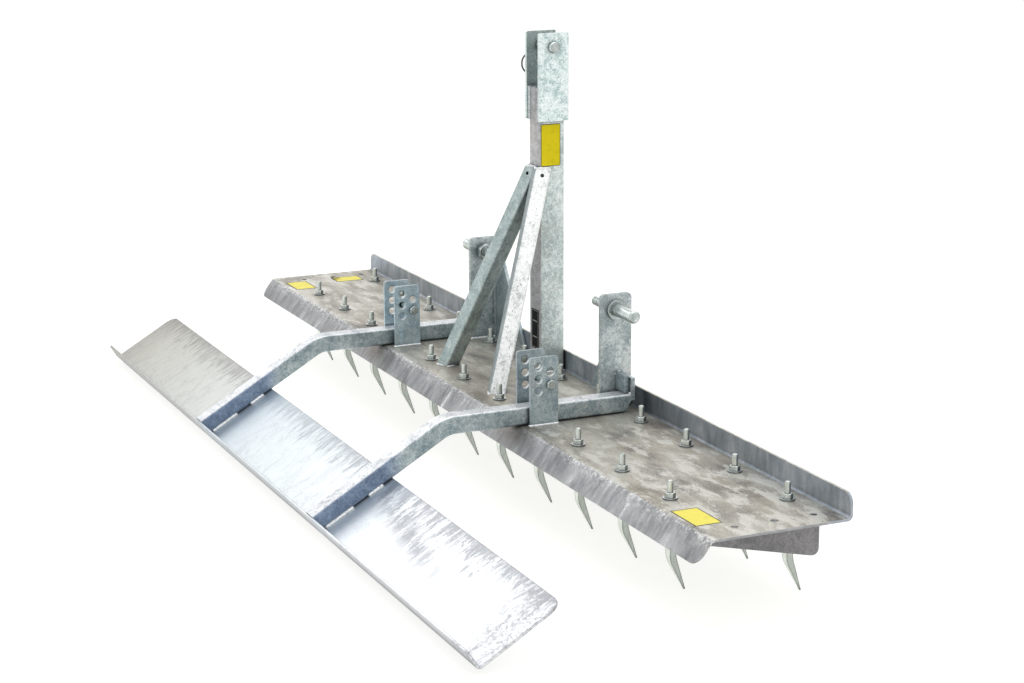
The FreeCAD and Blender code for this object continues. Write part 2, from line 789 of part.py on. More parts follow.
def make_brace(name, side):
    """A square tube from the deck to the mast's side, cut level at both ends."""
    foot = spread(side * s.brace_foot_out, s.brace_foot_in, 0)
    top = spread(side * s.brace_top_out, mast_back + s.brace_top_in, s.brace_high)
    along = (top - foot).normalize()
    level = Vector(0, 0, 1).cross(along).normalize()
    steep = along.cross(level)
    turn = math.radians(side * s.brace_turn.number)
    first = level * math.cos(turn) + steep * math.sin(turn)
    second = steep * math.cos(turn) - level * math.sin(turn)

    def prism(half, radius, overrun):
        """The tube's outer or inner shape between level ends."""
        start = foot - along * (overrun / along.z)
        finish = top + along * (overrun / along.z)
        ring = []
        for u, v in ((-1, -1), (1, -1), (1, 1), (-1, 1)):
            corner = start + first * (half * u) + second * (half * v)
            ring.append(corner - along * ((corner.z - start.z) / along.z))
        solid = Part.Face(Part.makePolygon(ring + ring[:1])).extrude(finish - start)
        long_edges = [edge for edge in solid.Edges if edge.Length > (finish - start).Length / 2]
        return solid.makeFillet(radius, long_edges)

    half = s.brace_wide.number / 2
    wall = s.brace_wall.number
    outside = prism(half, s.brace_corner.number, 0)
    inside = prism(half - wall, s.brace_corner.number - wall, s.overrun.number)
    wide = s.mast_wide.number
    high = number(mast_high)
    mast = Part.makeBox(wide, wide, high, spread(-s.mast_wide / 2, mast_back, 0))
    posts = [edge for edge in mast.Edges if edge.BoundBox.ZLength > high / 2]
    mast = mast.makeFillet(s.mast_corner.number, posts)
    vent_at = top - along * s.brace_vent_down.number
    vent_way = second if side > 0 else first * -1
    vent = Part.makeCylinder(s.brace_vent.number / 2, half * 2, vent_at, vent_way)
    past_middle = side * (s.brace_gap / 2 - s.mast_wide / 2) - s.mast_wide / 2
    other_side = Part.makeBox(wide, wide * 2, high, spread(past_middle, mast_back - s.mast_wide, 0))
    shape = outside.cut(inside).cut(mast).cut(vent).cut(other_side)
    feature = doc.addObject("Part::Feature", "brace_" + name)
    feature.Label = "brace_" + name
    feature.Shape = shape
    feature.Placement = Placement(spread(0, deck_y, deck_z), Rotation())
    return feature


# Lower link plates, gussets and hitch pins

def make_link_plate(name, side):
    half = s.link_thick / 2
    body = on_deck("link_plate_" + name, side * (s.link_out - half))
    near = inner_front - s.link_wide
    far = inner_front
    high = link_high
    corners = [(near, 0), (far, 0), (far, high), (near, high)]
    pad(body, outline(body, "YZ_Plane", corners), s.link_thick, middle=True)
    soften(body, "Fillet", s.link_corner, [across_x(half, y, high) for y in (near, far)])
    bore = s.pin_thread + s.stud_play
    pocket(body, circles(body, "YZ_Plane", [(s.deck_deep - s.pin_back, s.pin_high)], bore), middle=True)
    relieve_bend(body)
    return body


def make_link_gusset(name, side):
    half = s.gusset_thick / 2
    body = on_deck("link_gusset_" + name)
    wall = s.link_out - s.link_thick
    high = link_high - s.gusset_down
    corners = [
        (side * wall, 0),
        (side * wall, high),
        (side * (wall - s.gusset_top), high),
        (side * (wall - s.gusset_foot), 0),
    ]
    sketch = outline(body, "XZ_Plane", corners, -(inner_front - half))
    pad(body, sketch, s.gusset_thick, middle=True)
    relieve_bend(body)
    return body


def make_lower_pin(name, side):
    turn = 0 if side > 0 else 180
    place = (side * s.link_out, deck_y + s.deck_deep - s.pin_back, deck_z + s.pin_high)
    body = new_body("lower_pin_" + name, place, Vector(0, 0, 1), turn)
    collar = s.pin_collar_thick
    out = collar + s.pin_long
    bevel = s.pin_bevel
    inner = -(s.link_thick + s.pin_nut_high)
    tail = inner - s.pin_tail_long
    end = s.top_pin_bevel
    points = [
        (tail, 0),
        (tail, s.pin_tail_wide / 2 - end),
        (tail + end, s.pin_tail_wide / 2),
        (inner - end, s.pin_tail_wide / 2),
        (inner - end, s.pin_thread / 2),
        (0, s.pin_thread / 2),
        (0, s.pin_collar_wide / 2),
        (collar, s.pin_collar_wide / 2),
        (collar, s.pin_wide / 2),
        (out - bevel, s.pin_wide / 2),
        (out, s.pin_wide / 2 - bevel),
        (out, 0),
    ]
    turned(body, points)
    return body


def make_lower_pin_nuts():
    bore = s.pin_thread + s.thread_play * 2
    form = nut_form("pin_nut_form", s.pin_nut_across, s.pin_nut_high, bore)
    places = []
    for name, side in SIDES:
        x = side * (s.link_out - s.link_thick)
        place = spread(x, deck_y + s.deck_deep - s.pin_back, deck_z + s.pin_high)
        places.append(Placement(place, Rotation(Vector(0, 0, 1), Vector(-side, 0, 0))))
    return copies("lower_pin_nuts", form, places)


def make_cross_plate(name, side):
    half = s.cross_thick / 2
    body = on_deck("cross_plate_" + name)
    low = s.arm_gap + s.arm_wide + s.cross_gap
    near = side * s.link_out
    far = side * (s.link_out + s.cross_wide)
    high = low + s.cross_high
    corners = [(near, low), (far, low), (far, high), (near, high)]
    middle = s.deck_deep - s.cross_back + half
    pad(body, outline(body, "XZ_Plane", corners, -middle), s.cross_thick, middle=True)
    return body


# Guide plates and stop bolts

def guide_face(way):
    """Where the face of a guide plate that looks at the arm stands, from the arm's middle."""
    gap = s.guide_gap if way > 0 else s.guide_gap_inner
    return s.arm_wide / 2 + gap


def guide_holes():
    """Five holes in two staggered columns; the last is the stop bolt's."""
    rear = s.guide_in + s.guide_hole_back
    front = rear + s.guide_hole_step
    low = s.guide_hole_low
    pitch = s.guide_hole_pitch
    return [
        (rear, low),
        (rear, low + pitch),
        (rear, low + pitch * 2),
        (front, low + pitch * 1.5),
        (front, low + pitch / 2),
    ]


def make_guide_plate(name, side, where, way):
    """One of the two plates beside an arm: way is 1 for the outer one and -1 for the inner."""
    half = s.guide_thick / 2
    x = side * (s.arm_out + way * (guide_face(way) + half))
    body = on_deck("guide_plate_%s_%s" % (name, where), x)
    near = s.guide_in
    far = near + s.guide_hole_back + s.guide_hole_step + s.guide_hole_front
    high = s.guide_hole_low + s.guide_hole_pitch * 2 + s.guide_hole_top
    corners = [(near, 0), (far, 0), (far, high), (near, high)]
    pad(body, outline(body, "YZ_Plane", corners), s.guide_thick, middle=True)
    soften(body, "Fillet", s.guide_corner, [across_x(half, y, high) for y in (near, far)])
    pocket(body, circles(body, "YZ_Plane", guide_holes(), s.guide_hole), middle=True)
    return body


def stop_bolt_place(side, x):
    y, z = guide_holes()[-1]
    return (side * x, deck_y + y, deck_z + z)


def make_stop_bolt(name, side):
    """The head is outboard and the nut inboard; the body's Z axis looks outboard."""
    outer = s.arm_out + guide_face(1) + s.guide_thick
    body = new_body("stop_bolt_" + name, stop_bolt_place(side, outer), Vector(0, side, 0), 90)
    pad(body, outline(body, "XY_Plane", hexagon(s.nut_across)), s.stop_head_high)
    bevel_hexagon(body, s.nut_across, s.stop_head_high)
    grip = guide_face(1) + guide_face(-1) + s.guide_thick * 2
    length = grip + s.nut_high + s.stop_tail
    pad(body, circles(body, "XY_Plane", [(0, 0)], s.stop_bolt_wide), length, back=True)
    return body


def make_stop_nuts():
    bore = s.stop_bolt_wide + s.thread_play * 2
    form = nut_form("stop_nut_form", s.nut_across, s.nut_high, bore)
    places = []
    for name, side in SIDES:
        x = s.arm_out - guide_face(-1) - s.guide_thick
        turn = Rotation(Vector(0, 0, 1), Vector(-side, 0, 0))
        places.append(Placement(spread(*stop_bolt_place(side, x)), turn))
    return copies("stop_nuts", form, places)


# Arms, hooks and blade

def make_arm(name, side):
    """A bent square tube, hollow, open over the tine nut and closed by its end walls."""
    body = on_heel("arm_blank_" + name, side * s.arm_out)
    half = s.arm_wide / 2
    high = s.arm_wide
    back = high * tangent(s.arm_angle / 2)
    end = lip_inner
    lower_bend = (-s.arm_kink, 0)
    upper_bend = (-s.arm_kink - back, high)
    top_end = on_slope(end, high)
    corners = [
        (0, 0),
        (s.heel_front, s.heel_rise),
        (s.heel_front, high),
        upper_bend,
        top_end,
        on_slope(end, s.arm_trim),
        on_slope(end - s.arm_trim, 0),
        lower_bend,
    ]
    pad(body, outline(body, "YZ_Plane", corners), s.arm_wide, middle=True)
    soften(body, "Fillet", s.arm_bend, [across_x(half, *lower_bend)])
    soften(body, "Fillet", s.arm_bend + s.arm_wide, [across_x(half, *upper_bend)])
    round_arm(body)
    # The opening clears the nut and washer of the tine that stands under the arm.
    wide = s.arm_wide - s.arm_wall * 2
    opening = circles(body, "XY_Plane", [(0, s.rear_row - heel_y)], wide)
    pocket(body, opening, s.arm_wall * 2, middle=True)
    hollow = arm_hollow(name, side, back)
    return cut_away("arm_" + name, body, [hollow])


def round_arm(body):
    """Rounds the tube's four long edges, bends included."""
    base = body.Tip
    names = []
    reach = s.arm_kink.number / 2
    for place, edge in enumerate(base.Shape.Edges, 1):
        box = edge.BoundBox
        if box.XLength < s.touch.number and box.YLength > reach:
            names.append("Edge%d" % place)
    feature = body.newObject("PartDesign::Fillet", body.Name + "_corners")
    feature.Base = (base, names)
    bind(feature, "Radius", s.arm_corner)
    doc.recompute()


def arm_hollow(name, side, back):
    """The space inside an arm."""
    body = on_heel("arm_hollow_" + name, side * s.arm_out)
    wall = s.arm_wall
    wide = s.arm_wide - wall * 2
    high = s.arm_wide - wall
    step = wall * tangent(s.arm_angle / 2)
    start = s.heel_front - s.heel_rise
    end = lip_inner - s.arm_trim
    low_bend = (-s.arm_kink - step, wall)
    high_bend = (-s.arm_kink - back + step, high)
    corners = [
        (start, wall),
        (start, high),
        high_bend,
        on_slope(end, high),
        on_slope(end, wall),
        low_bend,
    ]
    pad(body, outline(body, "YZ_Plane", corners), wide, middle=True)
    soften(body, "Fillet", s.arm_bend + wall, [across_x(wide / 2, *low_bend)])
    soften(body, "Fillet", s.arm_bend + high, [across_x(wide / 2, *high_bend)])
    return body


def make_arm_hook(name, side):
    """The plate on the arm's front end that stands up ahead of the cross plate."""
    half = s.hook_thick / 2
    body = on_heel("arm_hook_" + name, side * s.arm_out)
    wide = s.arm_wide / 2
    low = s.heel_rise + s.hook_clear
    high = low + s.hook_high
    corners = [(-wide, low), (wide, low), (wide, high), (-wide, high)]
    pad(body, outline(body, "XZ_Plane", corners, -(s.heel_front + half)), s.hook_thick, middle=True)
    return body


def make_blade():
    """A long folded blade: the arms lie on its panel and stand against its lip."""
    body = on_heel("blade")
    half = s.blade_long / 2
    low = -s.blade_sheet
    top = lip_outer - s.blade_panel
    corners = [
        on_slope(top, 0),
        on_slope(lip_inner, 0),
        on_slope(lip_inner, lip_up),
        on_slope(lip_outer, lip_up),
        on_slope(lip_outer, low),
        on_slope(top, low),
    ]
    pad(body, outline(body, "YZ_Plane", corners), s.blade_long, middle=True)
    ends = [((x,) + corners[0], (x,) + corners[5]) for x in (-half, half)]
    soften(body, "Fillet", s.blade_corner, ends)
    soften(body, "Fillet", s.blade_bend, [across_x(half, *corners[1])])
    soften(body, "Fillet", bend_outer, [across_x(half, *corners[4])])
    return body


def make_name_plate():
    body = on_deck("name_plate", y=mast_back, z=s.plate_low)
    half = s.plate_wide / 2
    corners = [(-half, 0), (half, 0), (half, s.plate_high), (-half, s.plate_high)]
    pad(body, outline(body, "XZ_Plane", corners), s.plate_thick)
    return body


# The whole machine

pieces = [make_deck(), make_mast()]
for label, x, y in stud_places():
    pieces.append(make_tine(label, x, y))
pieces += make_tine_fasteners()
for name, side in SIDES:
    pieces.append(make_deflector(name, side))
    pieces.append(make_clevis_plate(name, side))
    pieces.append(make_brace(name, side))
    pieces.append(make_link_plate(name, side))
    pieces.append(make_link_gusset(name, side))
    pieces.append(make_lower_pin(name, side))
    pieces.append(make_cross_plate(name, side))
    pieces.append(make_guide_plate(name, side, "outer", 1))
    pieces.append(make_guide_plate(name, side, "inner", -1))
    pieces.append(make_stop_bolt(name, side))
    pieces.append(make_arm(name, side))
    pieces.append(make_arm_hook(name, side))
pieces += [make_lower_pin_nuts(), make_stop_nuts(), make_blade(), make_name_plate()]
pieces += [make_top_pin(), make_linch_pin(), make_linch_ring()]
doc.recompute()

for item in doc.Objects:
    if "Invalid" in item.State or "Error" in item.State:
        raise RuntimeError("%s failed: %s" % (item.Label, item.State))
os.makedirs("parts", exist_ok=True)
for piece in pieces:
    shape = piece.Shape
    if shape.isNull() or not shape.isValid():
        raise RuntimeError("%s has no valid shape" % piece.Label)
for piece in pieces:
    piece.Shape.exportStep("parts/%s.step" % piece.Label)
print(len(pieces), "pieces written")
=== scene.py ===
"""The looks of a galvanised arena leveller: finishes, welds, threads, patches and the studio."""
import json
import math

import bmesh
import bpy
from mathutils import Matrix, Quaternion, Vector


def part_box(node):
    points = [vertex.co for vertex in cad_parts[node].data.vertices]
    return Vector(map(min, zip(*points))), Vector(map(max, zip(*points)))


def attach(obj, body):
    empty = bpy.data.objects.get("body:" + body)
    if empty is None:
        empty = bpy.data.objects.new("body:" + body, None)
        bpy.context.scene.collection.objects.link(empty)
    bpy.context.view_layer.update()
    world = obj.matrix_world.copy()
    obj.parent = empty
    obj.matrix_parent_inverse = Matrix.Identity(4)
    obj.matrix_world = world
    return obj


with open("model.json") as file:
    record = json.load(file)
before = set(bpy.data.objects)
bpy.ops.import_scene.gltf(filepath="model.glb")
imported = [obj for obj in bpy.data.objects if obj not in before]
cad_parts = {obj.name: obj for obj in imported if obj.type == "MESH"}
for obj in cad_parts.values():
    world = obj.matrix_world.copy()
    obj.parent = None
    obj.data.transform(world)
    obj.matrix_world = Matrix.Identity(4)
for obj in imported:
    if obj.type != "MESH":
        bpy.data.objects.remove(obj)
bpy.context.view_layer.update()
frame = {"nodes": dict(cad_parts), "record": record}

# Places on the machine, in metres
DECK_TOP = 0.188
DECK_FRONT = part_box("tine_deck")[1].y
REAR_BEND = DECK_FRONT - 0.3
FRONT_ROW = DECK_FRONT - 0.05
REAR_ROW = REAR_BEND + 0.05
STUD_TOP = DECK_TOP + 0.036
NUT_TOP = DECK_TOP + 0.013
MAST_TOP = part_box("mast")[1].z
HALF_LENGTH = 1.25
ARM_INNER = 0.38
ARM_OUTER = 0.42
BLADE_FOOT = Vector((0, -0.36077, 0.01969))
BLADE_HEAD = Vector((0, -0.20482, 0.11156))
HOOK_WELD = 0.2286

UP = Vector((0, 0, 1))
ACROSS = Vector((1, 0, 0))
SIDES = (("right", 1), ("left", -1))

MACHINE = "machine"
LEVELLER = "leveller"


def point(x, y, z):
    """A place in millimetres; y is measured from the deck's rear bend."""
    return Vector((x / 1000, y / 1000 + REAR_BEND, z / 1000))


# Finishes

SHADING_SAMPLES = 4
HOLE_LIGHT_REACH = 0.02


class Finish:
    """A material under construction, with the few steps that the finishes here are made of."""

    def __init__(self, name, metallic, roughness):
        self.material = bpy.data.materials.new(name)
        self.material.use_nodes = True
        self.tree = self.material.node_tree
        self.shader = self.tree.nodes["Principled BSDF"]
        self.shader.inputs["Metallic"].default_value = metallic
        self.shader.inputs["Roughness"].default_value = roughness
        self.surface = self.tree.nodes.new("ShaderNodeTexCoord")
        self.where = self.surface.outputs["Object"]
        self.rounding = self.tree.nodes.new("ShaderNodeBevel")
        self.rounding.samples = SHADING_SAMPLES

    def join(self, value, socket):
        """A number or colour goes on the socket; an output is linked to it."""
        if isinstance(value, bpy.types.NodeSocket):
            self.tree.links.new(value, socket)
        else:
            socket.default_value = value

    def calculate(self, operation, *values):
        node = self.tree.nodes.new("ShaderNodeMath")
        node.operation = operation
        for value, socket in zip(values, node.inputs):
            self.join(value, socket)
        return node.outputs[0]

    def away(self, value, middle):
        """How far a value is from a middle, either way."""
        return self.calculate("ABSOLUTE", self.calculate("SUBTRACT", value, middle))

    def both(self, *shares):
        total = shares[0]
        for share in shares[1:]:
            total = self.calculate("MULTIPLY", total, share)
        return total

    def spread(self, value, strength, start):
        """The value's swing about its middle, added to start."""
        swing = self.calculate("SUBTRACT", value, 0.5)
        return self.calculate("MULTIPLY_ADD", swing, strength, start)

    def stretched(self, stretch, turn):
        """The place on the piece, pulled long in some directions."""
        node = self.tree.nodes.new("ShaderNodeMapping")
        self.tree.links.new(self.where, node.inputs["Vector"])
        node.inputs["Rotation"].default_value = [math.radians(angle) for angle in turn]
        node.inputs["Scale"].default_value = [1 / length for length in stretch]
        return node.outputs["Vector"]

    def clouds(self, size, detail, rough=0.55, stretch=(1, 1, 1), turn=(0, 0, 0), swirl=0.0):
        """Soft patches about size metres across."""
        node = self.tree.nodes.new("ShaderNodeTexNoise")
        self.tree.links.new(self.stretched(stretch, turn), node.inputs["Vector"])
        node.inputs["Scale"].default_value = 1 / size
        node.inputs["Detail"].default_value = detail
        node.inputs["Roughness"].default_value = rough
        node.inputs["Distortion"].default_value = swirl
        return node.outputs["Fac"]

    def crystals(self, size, ragged):
        """Zinc crystals with ragged borders, each with a grey of its own."""
        drift = self.tree.nodes.new("ShaderNodeTexNoise")
        self.tree.links.new(self.where, drift.inputs["Vector"])
        drift.inputs["Scale"].default_value = 2.2 / size
        drift.inputs["Detail"].default_value = 4.0
        shift = self.tree.nodes.new("ShaderNodeVectorMath")
        shift.operation = "MULTIPLY_ADD"
        self.tree.links.new(drift.outputs["Color"], shift.inputs[0])
        shift.inputs[1].default_value = (ragged * size,) * 3
        self.tree.links.new(self.where, shift.inputs[2])
        node = self.tree.nodes.new("ShaderNodeTexVoronoi")
        node.inputs["Scale"].default_value = 1 / size
        self.tree.links.new(shift.outputs[0], node.inputs["Vector"])
        grey = self.tree.nodes.new("ShaderNodeSeparateColor")
        self.tree.links.new(node.outputs["Color"], grey.inputs[0])
        return grey.outputs[0]

    def ramp(self, value, *stops):
        """Colours, or greys, along a value. Each stop is a place and a colour."""
        node = self.tree.nodes.new("ShaderNodeValToRGB")
        self.join(value, node.inputs["Fac"])
        marks = node.color_ramp.elements
        while len(marks) < len(stops):
            marks.new(0.5)
        for mark, (place, colour) in zip(marks, stops):
            mark.position = place
            mark.color = (colour if isinstance(colour, tuple) else (colour,) * 3) + (1,)
        return node.outputs["Color"]

    def blend(self, share, first, second):
        node = self.tree.nodes.new("ShaderNodeMix")
        node.data_type = "RGBA"
        self.join(share, node.inputs[0])
        for value, socket in ((first, node.inputs[6]), (second, node.inputs[7])):
            self.join(value + (1,) if isinstance(value, tuple) else value, socket)
        return node.outputs[2]

    def part(self, vector, axis):
        node = self.tree.nodes.new("ShaderNodeSeparateXYZ")
        self.tree.links.new(vector, node.inputs[0])
        return node.outputs[axis]

    def facing(self, axis):
        """How far a face looks along one axis, from -1 to 1."""
        return self.part(self.surface.outputs["Normal"], axis)

    def along(self, axis):
        """The place along one axis, in metres."""
        return self.part(self.where, axis)

    def place(self, axis, low, high, start=0.0, end=1.0):
        """A value that runs from start to end between two places along one axis."""
        node = self.tree.nodes.new("ShaderNodeMapRange")
        self.tree.links.new(self.along(axis), node.inputs["Value"])
        node.inputs["From Min"].default_value = low
        node.inputs["From Max"].default_value = high
        node.inputs["To Min"].default_value = start
        node.inputs["To Max"].default_value = end
        return node.outputs[0]

    def hole_shade_and_highlight(self, base, y, z):
        """Painted shade at a punched hole's upper rear, where its wall is in shade, and a painted
        highlight at its lower front.
        """
        back = self.calculate("SUBTRACT", self.along("Y"), y)
        high = self.calculate("SUBTRACT", self.along("Z"), z)
        squares = self.calculate("ADD", self.both(back, back), self.both(high, high))
        away = self.calculate("SQRT", squares)
        rim = self.ramp(self.calculate("MULTIPLY", away, 1 / HOLE_LIGHT_REACH), (0.46, 1.0), (0.56, 0.0))
        slant = self.calculate("SUBTRACT", high, self.calculate("MULTIPLY", back, 0.5))
        slant = self.calculate("DIVIDE", slant, away)
        upper = self.both(rim, self.ramp(slant, (0.1, 0.0), (0.7, 0.75)))
        base = self.blend(upper, base, (0.06, 0.08, 0.09))
        low = self.calculate("MULTIPLY", slant, -1)
        lower = self.both(rim, self.ramp(low, (0.3, 0.0), (0.9, 0.8)))
        return self.blend(lower, base, (0.88, 0.92, 0.93))

    def worn_edges_and_corner_shade(self, base, edge_tone, edge_share, corner_shade_share, reach, corner_shade=(0.1, 0.11, 0.12),
             width=0.0014):
        """Edges of another tone, and painted shade darkening the corners and the places where parts
        meet, out to their reach.
        """
        self.rounding.inputs["Radius"].default_value = width
        shape = self.tree.nodes.new("ShaderNodeNewGeometry")
        turn = self.tree.nodes.new("ShaderNodeVectorMath")
        turn.operation = "DOT_PRODUCT"
        self.tree.links.new(self.rounding.outputs[0], turn.inputs[0])
        self.tree.links.new(shape.outputs["True Normal"], turn.inputs[1])
        near_edge = self.ramp(turn.outputs["Value"], (0.86, 1.0), (0.985, 0.0))
        base = self.blend(self.calculate("MULTIPLY", near_edge, edge_share), base, edge_tone)
        # Painted shade: ambient occlusion darkens the colour in corners and along contact lines.
        corner = self.tree.nodes.new("ShaderNodeAmbientOcclusion")
        corner.samples = SHADING_SAMPLES
        corner.inputs["Distance"].default_value = reach
        depth = self.ramp(corner.outputs["AO"], (0.3, 1.0), (0.85, 0.0))
        return self.blend(self.calculate("MULTIPLY", depth, corner_shade_share), base, corner_shade)

    def colour(self, value):
        self.tree.links.new(value, self.shader.inputs["Base Color"])

    def rough(self, value, low, high):
        """The roughness where the value is 0 and where it is 1."""
        node = self.tree.nodes.new("ShaderNodeMapRange")
        self.join(value, node.inputs["Value"])
        node.inputs["To Min"].default_value = low
        node.inputs["To Max"].default_value = high
        self.tree.links.new(node.outputs[0], self.shader.inputs["Roughness"])

    def raised(self, height, depth):
        """Bumps of that depth in metres."""
        node = self.tree.nodes.new("ShaderNodeBump")
        self.tree.links.new(self.rounding.outputs[0], node.inputs["Normal"])
        node.inputs["Strength"].default_value = 1.0
        node.inputs["Distance"].default_value = depth
        self.join(height, node.inputs["Height"])
        self.tree.links.new(node.outputs[0], self.shader.inputs["Normal"])


STAIN = (0.4, 0.37, 0.33)
# Where the arms' painted reflection of the blade fades out, along Y
ARM_REFLECTION_START = -0.215
ARM_REFLECTION_END = -0.18


def zinc_coat(name, tones, lit=None, patch=0.04, fine=0.0036, contrast=1.0, flecks=None,
              stain=0.0, stretch=(1, 1, 1), reflected_tones=None, holes=(), edge=0.5,
              edge_tone=(0.86, 0.88, 0.88), corner_shade=0.8, reach=0.02):
    """Hot-dip zinc: clouds and fine crystals between three greys, edges of another tone and painted
    shade in the corners.

    lit is a way, the three greys painted on the faces that look that way as their light or shade,
    and the height where they start.
    flecks is a share and a tone. The pair of tones for the arms' part over the blade is a painted
    bluish reflection of the blade.
    """
    coat = Finish(name, 0.82, 0.41)
    patches = coat.clouds(patch, detail=6, rough=0.62, stretch=stretch, swirl=0.6)
    grain = coat.clouds(fine, detail=6, rough=0.8, swirl=0.4)
    crystals = coat.crystals(fine * 2.4, 1.3)
    tone = coat.spread(patches, 0.7 * contrast, 0.5)
    tone = coat.spread(grain, 1.25 * contrast, tone)
    tone = coat.spread(crystals, 0.16 * contrast, tone)
    base = coat.ramp(tone, *zip((0.3, 0.5, 0.7), tones))
    # A painted bluish reflection of the blade on the arms' part over it.
    if reflected_tones:
        near_blade = coat.place("Y", ARM_REFLECTION_START, ARM_REFLECTION_END, 0.85, 0.0)
        base = coat.blend(near_blade, base, coat.ramp(tone, *zip((0.3, 0.7), reflected_tones)))
    # Painted light and shade: faces that look the given way get lighter or darker greys.
    if lit:
        way, lit_tones, start_height = lit
        look = coat.facing(way[-1])
        if way.startswith("-"):
            look = coat.calculate("MULTIPLY", look, -1)
        above = coat.place("Z", start_height - 0.001, start_height + 0.003)
        share = coat.both(coat.ramp(look, (0.45, 0.0), (0.75, 1.0)), above)
        base = coat.blend(share, base, coat.ramp(tone, *zip((0.28, 0.44, 0.6), lit_tones)))
    if flecks:
        specks = coat.clouds(0.0048, detail=4, rough=0.65, swirl=1.0)
        specks = coat.ramp(specks, (0.35, 1.0), (0.41, 0.0))
        base = coat.blend(coat.both(specks, flecks[0]), base, flecks[1])
    if stain:
        rusty = coat.both(coat.clouds(0.009, detail=5, rough=0.7), coat.clouds(0.09, detail=3))
        rusty = coat.ramp(rusty, (0.27, 0.0), (0.34, 1.0))
        base = coat.blend(coat.both(rusty, stain), base, STAIN)
    # Painted shade and a painted highlight round each hole.
    for y, z in holes:
        base = coat.hole_shade_and_highlight(base, y, z)
    # Edges of another tone, and painted shade in the corners and where parts meet.
    base = coat.worn_edges_and_corner_shade(base, edge_tone, edge, corner_shade, corner_shade=(0.06, 0.07, 0.08), reach=reach)
    coat.colour(base)
    coat.rough(tone, 0.5, 0.32)
    coat.raised(coat.calculate("MULTIPLY_ADD", grain, 0.6, tone), 0.0004)
    return coat


SMUDGE_OUT = 0.41


def deck_coat():
    """The deck: a dull brownish top with pale blotches, and streaked flanges."""
    coat = Finish("zinc_deck", 0.8, 0.45)
    patches = coat.clouds(0.07, detail=10, rough=0.68, stretch=(1.7, 1, 1), swirl=0.3)
    streaks = coat.clouds(0.03, detail=8, rough=0.66, stretch=(6, 1, 1), swirl=0.2)
    wide = coat.clouds(0.45, detail=2, rough=0.5)
    grain = coat.clouds(0.004, detail=6, rough=0.8)
    tone = coat.spread(patches, 1.35, 0.52)
    tone = coat.spread(streaks, 0.6, tone)
    tone = coat.spread(wide, 0.4, tone)
    tone = coat.spread(grain, 1.0, tone)
    top = coat.ramp(tone, (0.3, (0.21, 0.2, 0.19)), (0.45, (0.4, 0.38, 0.34)),
                    (0.6, (0.54, 0.52, 0.46)), (0.75, (0.72, 0.7, 0.64)))
    outward = coat.calculate("ABSOLUTE", coat.along("X"))

    # Brown clouds, then crisp pale blotches, more of them towards the ends and to the right.
    rust = coat.clouds(0.11, detail=6, rough=0.65, stretch=(1.8, 1, 1))
    top = coat.blend(coat.ramp(rust, (0.42, 0.0), (0.62, 0.4)), top, (0.4, 0.33, 0.24))
    more = coat.calculate("MULTIPLY", outward, 0.075)
    more = coat.calculate("MULTIPLY_ADD", coat.along("X"), 0.02, more)
    blotches = coat.clouds(0.036, detail=9, rough=0.66, stretch=(2.2, 1, 1), swirl=0.2)
    blotches = coat.calculate("ADD", coat.spread(grain, 0.2, blotches), more)
    blotches = coat.ramp(blotches, (0.58, 0.0), (0.66, 1.0))
    top = coat.blend(coat.both(blotches, 0.65), top, (0.84, 0.83, 0.77))

    # The two flanges are streaked from their bends to their edges.
    brush = coat.clouds(0.02, detail=6, rough=0.6, stretch=(1, 4, 4), turn=(0, 18, 0), swirl=0.4)
    strokes = coat.clouds(0.05, detail=7, rough=0.62, stretch=(1, 2, 2), turn=(0, 25, 0), swirl=0.5)
    runs = coat.spread(brush, 0.75, 0.5)
    runs = coat.spread(strokes, 0.85, runs)
    runs = coat.spread(grain, 0.5, runs)
    rear = coat.ramp(runs, (0.26, (0.2, 0.2, 0.21)), (0.48, (0.33, 0.335, 0.345)),
                     (0.66, (0.48, 0.49, 0.5)), (0.8, (0.84, 0.85, 0.86)))
    front = coat.ramp(runs, (0.3, (0.24, 0.28, 0.32)), (0.52, (0.35, 0.39, 0.44)),
                      (0.75, (0.53, 0.56, 0.6)))

    # Painted shadow darkens the front flange just outside each arm's hook.
    hook_shadow = coat.calculate("SUBTRACT", outward, ARM_OUTER)
    hook_shadow = coat.ramp(hook_shadow, (0.0, 0.0), (0.01, 0.75), (0.05, 0.6), (0.2, 0.0))
    front = coat.blend(hook_shadow, front, (0.05, 0.06, 0.07))
    level = coat.ramp(coat.calculate("ABSOLUTE", coat.facing("Z")), (0.9, 0.0), (0.97, 1.0))
    ahead = coat.calculate("GREATER_THAN", coat.along("Y"), FRONT_ROW)
    base = coat.blend(level, coat.blend(ahead, rear, front), top)

    # White crumbs lie within a finger's width of the rear bend.
    near_bend = coat.away(coat.along("Y"), REAR_BEND + 0.002)
    near_bend = coat.ramp(near_bend, (0.0, 1.0), (0.018, 0.0))
    grit = coat.spread(patches, 0.5, coat.clouds(0.0075, detail=5, rough=0.7))
    grit = coat.ramp(grit, (0.5, 0.0), (0.58, 1.0))
    base = coat.blend(coat.both(grit, near_bend, 0.8), base, (0.88, 0.88, 0.86))

    # A dark brown smudge lies beside each arm, where it passes over the bend.
    beside = coat.spread(patches, 0.12, coat.away(outward, SMUDGE_OUT))
    beside = coat.ramp(beside, (0.02, 1.0), (0.12, 0.0))
    close = coat.ramp(coat.away(coat.along("Y"), REAR_BEND - 0.004), (0.01, 1.0), (0.034, 0.0))
    base = coat.blend(coat.both(beside, close, 0.6), base, (0.13, 0.1, 0.07))

    # Pale edges, and painted shade in the corners, darkest as the contact shadow under the arms.
    base = coat.worn_edges_and_corner_shade(base, (0.8, 0.81, 0.82), 0.45, 0.9, corner_shade=(0.05, 0.05, 0.05), reach=0.014)
    coat.colour(base)
    coat.rough(tone, 0.5, 0.34)
    coat.raised(coat.calculate("MULTIPLY_ADD", grain, 0.5, tone), 0.0005)
    return coat


BLADE_REAR = -0.366
BLADE_TOP_EDGE = -0.206
SWATH_LINE = 1.17
PEPPER_START = 1.13


